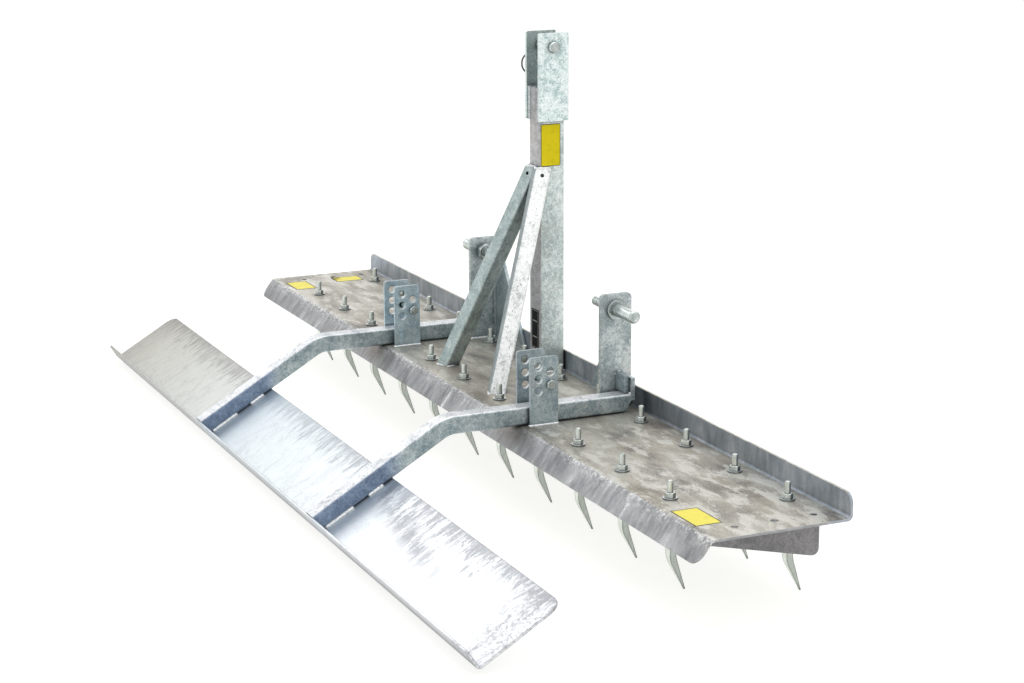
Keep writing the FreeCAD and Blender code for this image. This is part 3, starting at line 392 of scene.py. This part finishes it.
def blade_coat():
    """The blade: beige-grey at its left end and white at its right, partly its own tone and partly
    a painted highlight, with jagged streaks on top.
    """
    coat = Finish("zinc_blade", 0.82, 0.38)
    mottle = coat.clouds(0.03, detail=10, rough=0.74, stretch=(1, 2, 2), swirl=1.0)
    feathers = coat.clouds(0.013, detail=9, rough=0.7, stretch=(1, 5, 5), turn=(0, 0, -14),
                           swirl=0.6)
    grain = coat.clouds(0.0038, detail=6, rough=0.8)
    length = coat.place("X", -HALF_LENGTH, HALF_LENGTH)
    rise = coat.place("Y", BLADE_REAR, BLADE_TOP_EDGE)
    # Dark at the left end to white at the right: partly the sheet's own tone, partly a painted
    # highlight towards the right end.
    ground = coat.ramp(length, (0.0, (0.38, 0.37, 0.34)), (0.06, (0.5, 0.5, 0.46)),
                       (0.3, (0.6, 0.62, 0.6)), (0.37, (0.66, 0.71, 0.74)),
                       (0.6, (0.72, 0.76, 0.78)), (0.69, (0.86, 0.88, 0.9)))
    deep = coat.ramp(length, (0.0, (0.22, 0.21, 0.19)), (0.3, (0.32, 0.32, 0.31)),
                     (0.37, (0.4, 0.45, 0.49)), (0.69, (0.29, 0.3, 0.33)))
    soft = coat.spread(mottle, 1.2, coat.spread(grain, 1.1, 0.5))
    dull = coat.both(coat.ramp(soft, (0.25, 1.0), (0.52, 0.0)),
                     coat.place("X", 0.3, 0.7, 0.5, 0.25))
    base = coat.blend(dull, ground, deep)

    # Jagged streaks hang from the upper edge.
    streaks = coat.calculate("MULTIPLY_ADD", rise, 0.55, coat.spread(feathers, 0.9, 0.0))
    streaks = coat.spread(mottle, 0.5, coat.spread(grain, 0.5, streaks))
    streaks = coat.ramp(streaks, (0.43, 0.0), (0.53, 1.0))
    base = coat.blend(coat.both(streaks, 0.8), base, deep)

    # A swath of the same streaks runs down from the right arm.
    down = coat.calculate("MULTIPLY_ADD", coat.along("X"), 0.85, rise)
    swath = coat.both(coat.ramp(coat.away(down, SWATH_LINE), (0.04, 1.0), (0.26, 0.0)),
                      coat.place("X", ARM_OUTER, 0.46), coat.place("X", 0.75, 1.0, 1.0, 0.0))
    ragged = coat.spread(grain, 0.6, coat.spread(feathers, 0.8, mottle))
    ragged = coat.ramp(ragged, (0.43, 0.0), (0.55, 1.0))
    base = coat.blend(coat.both(swath, ragged, 0.75), base, deep)

    # The right end is peppered with grey.
    corner = coat.spread(mottle, 0.25, coat.calculate("MULTIPLY_ADD", rise, 0.04, coat.along("X")))
    corner = coat.ramp(coat.calculate("SUBTRACT", corner, PEPPER_START), (0.0, 0.0), (0.07, 1.0))
    pepper = coat.spread(mottle, 0.9, coat.clouds(0.006, detail=8, rough=0.8))
    pepper = coat.ramp(pepper, (0.44, 0.0), (0.58, 1.0))
    base = coat.blend(coat.both(corner, pepper, 0.9), base, (0.36, 0.36, 0.39))

    # Painted shade darkens the lip's outer face towards the ground.
    under = coat.ramp(coat.calculate("MULTIPLY", coat.facing("Z"), -1), (0.1, 0.0), (0.3, 1.0))
    under = coat.both(under, coat.place("Z", 0.014, 0.046, 1.0, 0.15),
                      coat.place("X", -1.2, 0.5, 0.5, 0.95))
    base = coat.blend(under, base, (0.17, 0.17, 0.2))

    # Each arm casts a painted bluish shadow on the sheet, on the arm's right.
    for face in (-ARM_INNER, ARM_OUTER):
        arm_shadow = coat.both(coat.place("X", face - 0.002, face + 0.002),
                         coat.place("X", face + 0.02, face + 0.16, 1.0, 0.0),
                         coat.ramp(mottle, (0.3, 0.3), (0.7, 0.65)))
        base = coat.blend(arm_shadow, base, (0.44, 0.53, 0.6))

    # Dark edges, and bluish painted shade in the corners.
    base = coat.worn_edges_and_corner_shade(base, (0.3, 0.31, 0.33), 0.8, 0.7, corner_shade=(0.2, 0.25, 0.32), reach=0.014,
                     width=0.003)
    coat.colour(base)
    coat.rough(soft, 0.46, 0.32)
    coat.raised(coat.calculate("MULTIPLY_ADD", grain, 0.5, mottle), 0.0004)
    return coat


def plated(name, shade, tone, sheen, roughness, stretch=(1, 1, 1), patch=0.4, edge=0.6,
           edge_tone=(0.92, 0.94, 0.92), width=0.0014):
    """Bright zinc plating: fine marks, a faint cloud, painted shade in the crevices and on faces
    turned down and away, and a painted highlight on faces that look up.
    """
    coat = Finish(name, 0.95, roughness)
    marks = coat.clouds(0.0022, detail=4, rough=0.65, stretch=stretch)
    patches = coat.clouds(0.012, detail=5, rough=0.65, stretch=stretch, swirl=0.6)
    share = coat.spread(marks, 0.8, coat.spread(patches, patch, 0.5))
    base = coat.ramp(share, (0.32, shade), (0.5, tone), (0.68, sheen))

    # Painted shade on small round steel where it faces down and ahead, standing in for the dark
    # deck that it mirrors, and lighter where it faces up.
    light = coat.calculate("MULTIPLY", coat.facing("Y"), -0.28)
    light = coat.calculate("MULTIPLY_ADD", coat.facing("Z"), 0.28, light)
    light = coat.calculate("ADD", light, 0.5)
    turned_away_shade = coat.ramp(light, (0.3, 0.8), (0.46, 0.45), (0.6, 0.0))
    base = coat.blend(turned_away_shade, base, (0.05, 0.065, 0.065))
    # A painted highlight on the faces that look up.
    top = coat.ramp(coat.facing("Z"), (0.9, 0.0), (0.97, 0.75))
    base = coat.blend(top, base, (1.0, 1.0, 1.0))

    # Light edges, and painted shade in the crevices.
    base = coat.worn_edges_and_corner_shade(base, edge_tone, edge, 1.0, corner_shade=(0.015, 0.02, 0.02), reach=0.012,
                     width=width)
    coat.colour(base)
    coat.rough(share, roughness * 1.4, roughness * 0.8)
    coat.raised(marks, 0.00012)
    return coat


def weld_coat():
    """Galvanised weld metal: white and lumpy."""
    coat = Finish("zinc_weld", 0.7, 0.4)
    lumps = coat.clouds(0.0045, detail=5, rough=0.65)
    base = coat.ramp(lumps, (0.36, (0.5, 0.55, 0.58)), (0.5, (0.88, 0.9, 0.91)),
                     (0.65, (1.0, 1.0, 1.0)))
    # Light edges and a little painted shade in the corners.
    coat.colour(coat.worn_edges_and_corner_shade(base, (0.95, 0.95, 0.95), 0.3, 0.3, reach=0.006))
    coat.rough(lumps, 0.5, 0.3)
    coat.raised(lumps, 0.0012)
    return coat


FILM_RIM_TONE = (0.05, 0.045, 0.03)
FILM_WEAR = 0.84


def film_coat(name, tone, rim, axes, sizes, middle):
    """A blank patch of coated film with a dark rim, showing a little wear."""
    coat = Finish(name, 0.0, 0.38)
    coat.shader.inputs["Specular IOR Level"].default_value = 0.2
    wear = coat.clouds(0.012, detail=6, rough=0.65)
    face = coat.ramp(wear, (0.3, tuple(value * FILM_WEAR for value in tone)), (0.5, tone))
    inset = [coat.calculate("SUBTRACT", size / 2, coat.away(coat.along(axis), centre))
             for axis, size, centre in zip(axes, sizes, middle)]
    inside = coat.calculate("GREATER_THAN", coat.calculate("MINIMUM", *inset), rim)
    coat.colour(coat.blend(inside, FILM_RIM_TONE, face))
    coat.rough(wear, 0.46, 0.34)
    coat.raised(wear, 0.0002)
    return coat


# The lines on the name plate: places from its edges or middle, and half widths
FRAME_INSET = 0.0026
FRAME_HALF_WIDTH = 0.0004
BAR_HEIGHT = 0.019
BAR_HALF_WIDTH = 0.0011
BAR_INSET = 0.006


def name_plate_coat():
    """A blank dark plate with a light frame and two light bars."""
    low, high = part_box("name_plate")
    middle = (low + high) / 2
    coat = Finish("name_plate_blank", 0.0, 0.5)
    coat.shader.inputs["Specular IOR Level"].default_value = 0.05
    wear = coat.clouds(0.006, detail=6, rough=0.65)
    face = coat.ramp(wear, (0.3, (0.004, 0.004, 0.005)), (0.65, (0.016, 0.016, 0.018)))
    side = coat.away(coat.along("X"), middle.x)
    height = coat.away(coat.along("Z"), middle.z)
    from_side = coat.calculate("SUBTRACT", (high.x - low.x) / 2, side)
    from_end = coat.calculate("SUBTRACT", (high.z - low.z) / 2, height)
    inset = coat.calculate("MINIMUM", from_side, from_end)
    border = coat.calculate("LESS_THAN", coat.away(inset, FRAME_INSET), FRAME_HALF_WIDTH)
    bar = coat.calculate("LESS_THAN", coat.away(height, BAR_HEIGHT), BAR_HALF_WIDTH)
    bar = coat.both(bar, coat.calculate("GREATER_THAN", from_side, BAR_INSET))
    coat.colour(coat.blend(coat.calculate("MAXIMUM", border, bar), face, (0.5, 0.5, 0.48)))
    coat.rough(wear, 0.5, 0.32)
    coat.raised(wear, 0.0001)
    return coat


def bracket_coat(name, tones):
    """The guide plates, gussets and other small plates, with painted shade and highlights round the
    holes and painted shade in their corners.
    """
    holes = [(REAR_BEND + 0.039, height) for height in (0.2625, 0.2895, 0.3165)]
    holes += [(REAR_BEND + 0.067, height) for height in (0.276, 0.303)]
    return zinc_coat(name, tones, patch=0.035, stain=0.3, contrast=0.95, holes=holes, corner_shade=0.95,
                     reach=0.01)


# Each finish runs from shade to light.
ARM = ((0.19, 0.25, 0.28), (0.35, 0.42, 0.44), (0.58, 0.63, 0.64))
# Painted light: the greys of the arms' faces that look up.
ARM_TOP_LIT = ((0.34, 0.37, 0.4), (0.66, 0.68, 0.71), (0.84, 0.85, 0.86))
ARM_OVER_BLADE = ((0.14, 0.19, 0.29), (0.3, 0.38, 0.53))
BRACE_LEFT = ((0.28, 0.36, 0.36), (0.43, 0.52, 0.51), (0.62, 0.69, 0.68))
BRACE_RIGHT = ((0.24, 0.29, 0.3), (0.36, 0.41, 0.42), (0.52, 0.56, 0.56))
BRACE_RIGHT_LIT = ((0.5, 0.53, 0.53), (0.84, 0.86, 0.85), (0.97, 0.98, 0.97))
BRACKET = ((0.22, 0.29, 0.33), (0.37, 0.45, 0.48), (0.55, 0.61, 0.63))
CLEVIS = ((0.4, 0.52, 0.51), (0.7, 0.82, 0.81), (0.92, 0.98, 0.97))
DEFLECTOR = ((0.15, 0.15, 0.16), (0.22, 0.215, 0.22), (0.31, 0.3, 0.31))
FASTENER = ((0.4, 0.46, 0.45), (0.68, 0.75, 0.73), (0.95, 0.98, 0.96))
GUIDE_LEFT = ((0.28, 0.38, 0.44), (0.46, 0.59, 0.66), (0.67, 0.78, 0.83))
LINCH = ((0.04, 0.045, 0.05), (0.1, 0.11, 0.12), (0.3, 0.32, 0.33))
LINK = ((0.28, 0.34, 0.35), (0.44, 0.5, 0.51), (0.64, 0.68, 0.67))
MAST = ((0.34, 0.41, 0.41), (0.58, 0.66, 0.65), (0.84, 0.88, 0.87))
# Painted shade: the greys of the mast's rear face.
MAST_REAR_SHADED = ((0.26, 0.26, 0.27), (0.4, 0.4, 0.41), (0.58, 0.58, 0.59))
PIN = ((0.3, 0.35, 0.34), (0.55, 0.61, 0.6), (0.9, 0.94, 0.93))
SHADED = ((0.17, 0.21, 0.21), (0.27, 0.32, 0.32), (0.4, 0.46, 0.45))
TINE = ((0.5, 0.55, 0.49), (0.72, 0.77, 0.71), (0.9, 0.94, 0.89))
WASHER = ((0.2, 0.25, 0.25), (0.36, 0.42, 0.42), (0.7, 0.76, 0.74))

finishes = {
    "deck_sheet": deck_coat(),
    "deflector_sheet": zinc_coat("zinc_deflector", DEFLECTOR, patch=0.09, contrast=0.8, edge=0.25),
    "blade_sheet": blade_coat(),
    "arm_tube": zinc_coat("zinc_arm", ARM, lit=("Z", ARM_TOP_LIT, 0), reflected_tones=ARM_OVER_BLADE, patch=0.05,
                          edge=0.55, edge_tone=(0.55, 0.58, 0.6)),
    "mast_tube": zinc_coat("zinc_mast", MAST, lit=("-Y", MAST_REAR_SHADED, 0), patch=0.06,
                           stretch=(1, 1, 2.4), stain=0.4, reach=0.012),
    "brace_tube": zinc_coat("zinc_brace_right", BRACE_RIGHT, lit=("X", BRACE_RIGHT_LIT, 0),
                            flecks=(0.8, (0.2, 0.22, 0.22))),
    "bracket_plate": bracket_coat("zinc_plate", BRACKET),
    "tine_steel": plated("zinc_tine", *TINE, 0.24, stretch=(1, 1, 14), patch=0.15, edge=0.85,
                         edge_tone=(0.12, 0.15, 0.11), width=0.0045),
    "small_fasteners": plated("zinc_fastener", *FASTENER, 0.24, stretch=(1, 1, 7), patch=0.1,
                              edge=0.35),
    "hitch_pins": plated("zinc_pin", *PIN, 0.22, stretch=(1, 9, 9), patch=0.3),
    "linch_steel": plated("zinc_linch", *LINCH, 0.28, edge=0.3, edge_tone=(0.4, 0.42, 0.42)),
    "name_plate": name_plate_coat(),
}

# Nodes that differ from the rest of their slot
guide_left = bracket_coat("zinc_guide_left", GUIDE_LEFT)
by_node = {
    "guide_plate_left_outer": guide_left,
    "guide_plate_left_inner": guide_left,
    "tine_washers": plated("zinc_washer", *WASHER, 0.24, patch=0.3),
    "clevis_plate_right": zinc_coat("zinc_clevis_right", CLEVIS, patch=0.07, contrast=1.5,
                                    flecks=(0.5, (0.3, 0.37, 0.35))),
    "clevis_plate_left": zinc_coat("zinc_clevis_left", CLEVIS, lit=("X", SHADED, MAST_TOP),
                                   patch=0.05),
    "brace_left": zinc_coat("zinc_brace_left", BRACE_LEFT, lit=("X", SHADED, 0), patch=0.03,
                            fine=0.006, contrast=0.8),
    "link_plate_right": zinc_coat("zinc_link_right", LINK, patch=0.06, contrast=1.5, stain=0.5,
                                  flecks=(0.25, (0.25, 0.27, 0.28))),
    "link_plate_left": zinc_coat("zinc_link_left", LINK, contrast=1.3),
}
welds = weld_coat()

for row in frame["record"]["subparts"]:
    node = frame["nodes"][row["node"]]
    coat = by_node.get(row["node"]) or finishes[row["material_slot"]]
    finish = coat.material
    if not node.material_slots:
        node.data.materials.append(finish)
    for slot in node.material_slots:
        slot.material = finish


# New pieces

def finished(name, form, finish, body, smooth=True):
    """Turns the worked form into a piece that rides on its body."""
    bmesh.ops.remove_doubles(form, verts=form.verts, dist=1e-6)
    bmesh.ops.recalc_face_normals(form, faces=form.faces)
    for face in form.faces:
        face.smooth = smooth
    mesh = bpy.data.meshes.new(name)
    form.to_mesh(mesh)
    form.free()
    mesh.materials.append(finish.material)
    piece = bpy.data.objects.new(name, mesh)
    bpy.context.scene.collection.objects.link(piece)
    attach(piece, body)


def drawn_out(form, start, way, stations, sides, turn=0.0):
    """A round form along a line. Each station is a distance from the start and a radius."""
    rod = bmesh.new()
    lie = UP.rotation_difference(way).to_matrix().to_4x4()
    reached, radius = stations[0]
    place = Matrix.Translation(start + way * reached) @ lie @ Matrix.Rotation(turn, 4, "Z")
    bmesh.ops.create_circle(rod, cap_ends=True, radius=radius, segments=sides, matrix=place)
    edges = rod.edges[:]
    for distance, wide in stations[1:]:
        grown = bmesh.ops.extrude_edge_only(rod, edges=edges)["geom"]
        verts = [item for item in grown if isinstance(item, bmesh.types.BMVert)]
        edges = [item for item in grown if isinstance(item, bmesh.types.BMEdge)
                 and all(vert in verts for vert in item.verts)]
        bmesh.ops.translate(rod, verts=verts, vec=way * (distance - reached))
        centre = start + way * distance
        bmesh.ops.scale(rod, verts=verts, vec=(wide / radius,) * 3,
                        space=Matrix.Translation(-centre))
        reached = distance
        radius = wide
    bmesh.ops.contextual_create(rod, geom=edges)
    part = bpy.data.meshes.new("part")
    rod.to_mesh(part)
    rod.free()
    form.from_mesh(part)
    bpy.data.meshes.remove(part)


# A weld bead: the length of a ripple, and shares of the bead's size
RIPPLE = 0.0034
END_REACH = 0.5
END_SIZE = 0.45
VALLEY = 0.84
LAST_VALLEY = 0.85
BEAD_SIDES = 8


def bead(form, start, end, size):
    """A rippled weld bead from one point to another, with rounded ends."""
    way = end - start
    length = way.length
    count = max(round(length / RIPPLE), 2)
    step = length / count
    stations = [(-size * END_REACH, size * END_SIZE)]
    for i in range(count):
        swell = 1 + 0.09 * math.sin(i * 2.4) + 0.06 * math.sin(i * 5.3)
        stations.append((step * (i + 0.15), size * VALLEY))
        stations.append((step * (i + 0.6), size * swell))
    stations.append((length, size * LAST_VALLEY))
    stations.append((length + size * END_REACH, size * END_SIZE))
    drawn_out(form, start, way.normalized(), stations, BEAD_SIDES, math.pi / BEAD_SIDES)


def beads(name, runs, body, size, finish=welds):
    form = bmesh.new()
    for start, end in runs:
        bead(form, start, end, size)
    finished(name, form, finish, body)


# An M12 thread, and its radii as shares of the rod's
M12_RADIUS = 0.006
M12_PITCH = 0.00175
ROOT = 0.985
CREST = 1.045
THREAD_SIDES = 16


def thread(form, start, way, length):
    """The crests of a thread round a rod."""
    root = M12_RADIUS * ROOT
    crest = M12_RADIUS * CREST
    stations = [(0.0, root)]
    for i in range(int(length / M12_PITCH)):
        for share, radius in ((0.3, root), (0.55, crest), (0.7, crest), (0.95, root)):
            stations.append((M12_PITCH * (i + share), radius))
    drawn_out(form, start, way, stations, THREAD_SIDES)


# The mast's foot is welded on three sides; its fourth stands close to the deck's front flange.
low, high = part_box("mast")
foot = [Vector((x, y, DECK_TOP)) for x, y in ((low.x, high.y), (low.x, low.y),
                                              (high.x, low.y), (high.x, high.y))]
beads("weld_mast_foot", list(zip(foot, foot[1:])), MACHINE, size=0.004)

plate_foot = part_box("clevis_plate_right")[0].z
runs = []
for side in (-1, 1):
    x = side * high.x
    runs.append((Vector((x, low.y, plate_foot)), Vector((x, low.y, high.z))))
    runs.append((Vector((x, low.y + 0.006, plate_foot)), Vector((x, high.y - 0.006, plate_foot))))
beads("weld_mast_head", runs, MACHINE, size=0.003)

# In millimetres, on the right side
BRACE_FOOT = ((163.9, 78.0, 188), (152.0, 45.2, 188), (119.6, 60.2, 188), (131.4, 92.8, 188))
BRACE_HEAD = (((30, 240, 603), (31, 255, 668)),
              ((34, 254, 671), (26, 224, 671)),
              ((25, 222, 671), (4, 231, 671)))
# Shares of the way up the blade between which an arm is stitched to it
STITCHES = ((0.04, 0.42), (0.66, 0.85))

for name, side in SIDES:
    foot = [point(side * x, y, z) for x, y, z in BRACE_FOOT]
    runs = list(zip(foot, foot[1:] + foot[:1]))
    for ends in BRACE_HEAD:
        runs.append(tuple(point(side * x, y, z) for x, y, z in ends))
    beads("weld_brace_" + name, runs, MACHINE, size=0.0038)

    low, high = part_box("link_gusset_" + name)
    inner, outer = (low.x, high.x) if side > 0 else (high.x, low.x)
    runs = [(Vector((inner, low.y, DECK_TOP)), Vector((outer, low.y, DECK_TOP))),
            (Vector((outer, low.y, DECK_TOP)), Vector((outer, low.y, high.z)))]
    beads("weld_gusset_" + name, runs, MACHINE, size=0.003,
          finish=finishes["bracket_plate"])

    low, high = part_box("link_plate_" + name)
    near = [Vector((x, low.y, DECK_TOP)) for x in (low.x, high.x)]
    far = [Vector((x, high.y - 0.008, DECK_TOP)) for x in (low.x, high.x)]
    runs = [(near[0], near[1]), (near[0], far[0]), (near[1], far[1])]
    low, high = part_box("cross_plate_" + name)
    root = low.x if side > 0 else high.x
    runs.append((Vector((root, low.y, high.z - 0.006)), Vector((root, high.y, high.z - 0.001))))
    beads("weld_link_plate_" + name, runs, MACHINE, size=0.0036)

    runs = []
    for place in ("inner", "outer"):
        low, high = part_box("guide_plate_%s_%s" % (name, place))
        away = side if place == "outer" else -side
        x = high.x if away > 0 else low.x
        runs.append((Vector((x, low.y, DECK_TOP)), Vector((x, high.y, DECK_TOP))))
        for y in (low.y, high.y):
            runs.append((Vector((low.x, y, DECK_TOP)), Vector((high.x, y, DECK_TOP))))
    beads("weld_guide_plates_" + name, runs, MACHINE, size=0.0032)

    # The arm lies on the blade, and its stitches run up the slope on both sides.
    runs = []
    for x in (ARM_INNER, ARM_OUTER):
        out = Vector((side * x, 0, 0))
        for stitch in STITCHES:
            runs.append([BLADE_FOOT.lerp(BLADE_HEAD, share) + out for share in stitch])
    beads("weld_arm_" + name, runs, LEVELLER, size=0.0052)
    low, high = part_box("arm_hook_" + name)
    runs = [[Vector((x, low.y, HOOK_WELD)) for x in (low.x + 0.004, high.x - 0.004)]]
    beads("weld_hook_" + name, runs, LEVELLER, size=0.0034)

form = bmesh.new()
for node in frame["nodes"]:
    if node.startswith(("tine_front", "tine_rear")):
        low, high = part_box(node)
        y = FRONT_ROW if node.startswith("tine_front") else REAR_ROW
        start = Vector(((low.x + high.x) / 2, y, NUT_TOP - 0.002))
        thread(form, start, UP, STUD_TOP - start.z - 0.0015)
finished("stud_threads", form, finishes["small_fasteners"], MACHINE)

form = bmesh.new()
for name, side in SIDES:
    low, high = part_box("stop_bolt_" + name)
    x = low.x if side > 0 else high.x
    start = Vector((x + side * 0.001, (low.y + high.y) / 2, (low.z + high.z) / 2))
    thread(form, start, ACROSS * side, 0.0062)
finished("stop_bolt_threads", form, finishes["small_fasteners"], MACHINE)

FILM = 0.0003
FILM_CORNER = 0.003
LIFTED_SHARE = 0.25
PALE_YELLOW = (0.98, 0.86, 0.12)
YELLOW = (1.0, 0.82, 0.01)


def patch(name, low, high, facing, tone, rim, lifted=0.0):
    """A thin rectangle of film on a flat face, with rounded corners and perhaps a lifted end."""
    form = bmesh.new()
    middle = (low + high) / 2
    size = high - low
    bmesh.ops.create_cube(form, size=1.0)
    bmesh.ops.scale(form, verts=form.verts, vec=[max(value, FILM) for value in size])
    bmesh.ops.translate(form, verts=form.verts, vec=middle + facing * FILM / 2)
    upright = [edge for edge in form.edges
               if abs((edge.verts[0].co - edge.verts[1].co).normalized().dot(facing)) > 0.9]
    bmesh.ops.bevel(form, geom=upright, offset=FILM_CORNER, offset_type="OFFSET", affect="EDGES",
                    segments=4, profile=0.5, material=-1)
    if lifted:
        across = size.normalized()
        for share in (LIFTED_SHARE, 0.2, 0.15, 0.1, 0.05):
            geometry = form.verts[:] + form.edges[:] + form.faces[:]
            bmesh.ops.bisect_plane(form, geom=geometry, plane_co=low + size * share,
                                   plane_no=across)
        for vert in form.verts:
            along = (vert.co - low).dot(across) / size.length
            if along < LIFTED_SHARE:
                vert.co += facing * lifted * ((LIFTED_SHARE - along) / LIFTED_SHARE) ** 2
    flat = [i for i in range(3) if abs(facing[i]) < 0.5]
    finish = film_coat("film_" + name, tone, rim, ["XYZ"[i] for i in flat],
                       [size[i] for i in flat], [middle[i] for i in flat])
    finished(name, form, finish, MACHINE, smooth=False)


patch("deck_patch_right", point(1071, 12, 188), point(1169, 69, 188), UP, PALE_YELLOW, 0.0024)
patch("deck_patch_left", point(-1178, 14, 188), point(-1082, 72, 188), UP, PALE_YELLOW, 0.003)
patch("deck_patch_far_left", point(-1186, 150, 188), point(-1130, 228, 188), UP, PALE_YELLOW,
      0.003, lifted=0.002)
patch("mast_patch", point(30, 233, 675), point(30, 282, 772), ACROSS, YELLOW, 0.0014)


# Studio

FLOOR_LEVEL = -0.0004
FLOOR_HALF_SIZE = 30
FLOOR_GREY = 0.42
FLOOR_GLOW = 0.78
AIR_LIGHT = 0.74
AIR_SEEN = 1.0


def backdrop_rays(tree):
    """1 for the rays that show the white background: the camera's own, and those in gloss."""
    seen = tree.nodes.new("ShaderNodeLightPath")
    total = seen.outputs["Is Camera Ray"]
    for kind in ("Is Glossy Ray", "Is Transmission Ray"):
        either = tree.nodes.new("ShaderNodeMath")
        either.operation = "MAXIMUM"
        tree.links.new(total, either.inputs[0])
        tree.links.new(seen.outputs[kind], either.inputs[1])
        total = either.outputs[0]
    return total


def floor_coat():
    """White ground that keeps the soft shadows and fades to pure white."""
    material = bpy.data.materials.new("studio_floor")
    material.use_nodes = True
    tree = material.node_tree
    tree.nodes.clear()
    ground = tree.nodes.new("ShaderNodeBsdfDiffuse")
    ground.inputs["Color"].default_value = (FLOOR_GREY, FLOOR_GREY, FLOOR_GREY, 1)
    glow = tree.nodes.new("ShaderNodeEmission")
    glow.inputs["Color"].default_value = (1, 1, 0.97, 1)
    share = tree.nodes.new("ShaderNodeMath")
    share.operation = "MULTIPLY"
    share.inputs[1].default_value = FLOOR_GLOW
    total = tree.nodes.new("ShaderNodeAddShader")
    out = tree.nodes.new("ShaderNodeOutputMaterial")
    tree.links.new(backdrop_rays(tree), share.inputs[0])
    tree.links.new(share.outputs[0], glow.inputs["Strength"])
    tree.links.new(ground.outputs[0], total.inputs[0])
    tree.links.new(glow.outputs[0], total.inputs[1])
    tree.links.new(total.outputs[0], out.inputs["Surface"])
    return material


form = bmesh.new()
bmesh.ops.create_grid(form, x_segments=1, y_segments=1, size=FLOOR_HALF_SIZE,
                      matrix=Matrix.Translation((0, 0, FLOOR_LEVEL)))
mesh = bpy.data.meshes.new("studio_floor")
form.to_mesh(mesh)
form.free()
mesh.materials.append(floor_coat())
floor = bpy.data.objects.new("studio_floor", mesh)
bpy.context.scene.collection.objects.link(floor)

world = bpy.data.worlds.new("studio_air")
world.use_nodes = True
bpy.context.scene.world = world
tree = world.node_tree
air = tree.nodes["Background"]
plain = tree.nodes.new("ShaderNodeMapRange")
plain.inputs["To Min"].default_value = AIR_LIGHT
plain.inputs["To Max"].default_value = AIR_SEEN
tree.links.new(backdrop_rays(tree), plain.inputs["Value"])
air.inputs["Color"].default_value = (1, 1, 1, 1)
tree.links.new(plain.outputs[0], air.inputs["Strength"])


def softbox(name, place, target, size, power):
    light = bpy.data.lights.new(name, "AREA")
    light.shape = "SQUARE"
    light.size = size
    light.energy = power
    lamp = bpy.data.objects.new(name, light)
    lamp.location = place
    lamp.rotation_euler = (Vector(target) - Vector(place)).to_track_quat("-Z", "Y").to_euler()
    bpy.context.scene.collection.objects.link(lamp)


softbox("softbox_left", (-5.0, -1.2, 3.6), (0, 0, 0.2), size=2.4, power=22)
softbox("softbox_right", (5.0, 0.4, 2.7), (0, 0.2, 0.4), size=2.4, power=13)
softbox("softbox_top", (0.6, 0.2, 5.0), (0, 0, 0), size=4.0, power=60)

# Camera

EYE = Vector((4.5254, -1.7881, 1.4771))
BEARING = math.radians(65.648)
DIP = math.radians(13.727)
ROLL = math.radians(-0.262)
SENSOR_WIDTH = 36
FOCAL_LENGTH = 77.095
FAR = 100

forward = Vector((-math.sin(BEARING) * math.cos(DIP), math.cos(BEARING) * math.cos(DIP),
                  -math.sin(DIP)))
lens = bpy.data.cameras.new("camera")
lens.sensor_width = SENSOR_WIDTH
lens.lens = FOCAL_LENGTH
lens.clip_end = FAR
camera = bpy.data.objects.new("camera", lens)
camera.location = EYE
camera.rotation_euler = (forward.to_track_quat("-Z", "Y") @ Quaternion(UP, ROLL)).to_euler()
bpy.context.scene.collection.objects.link(camera)
bpy.context.scene.camera = camera

bpy.context.scene.view_settings.view_transform = "Standard"
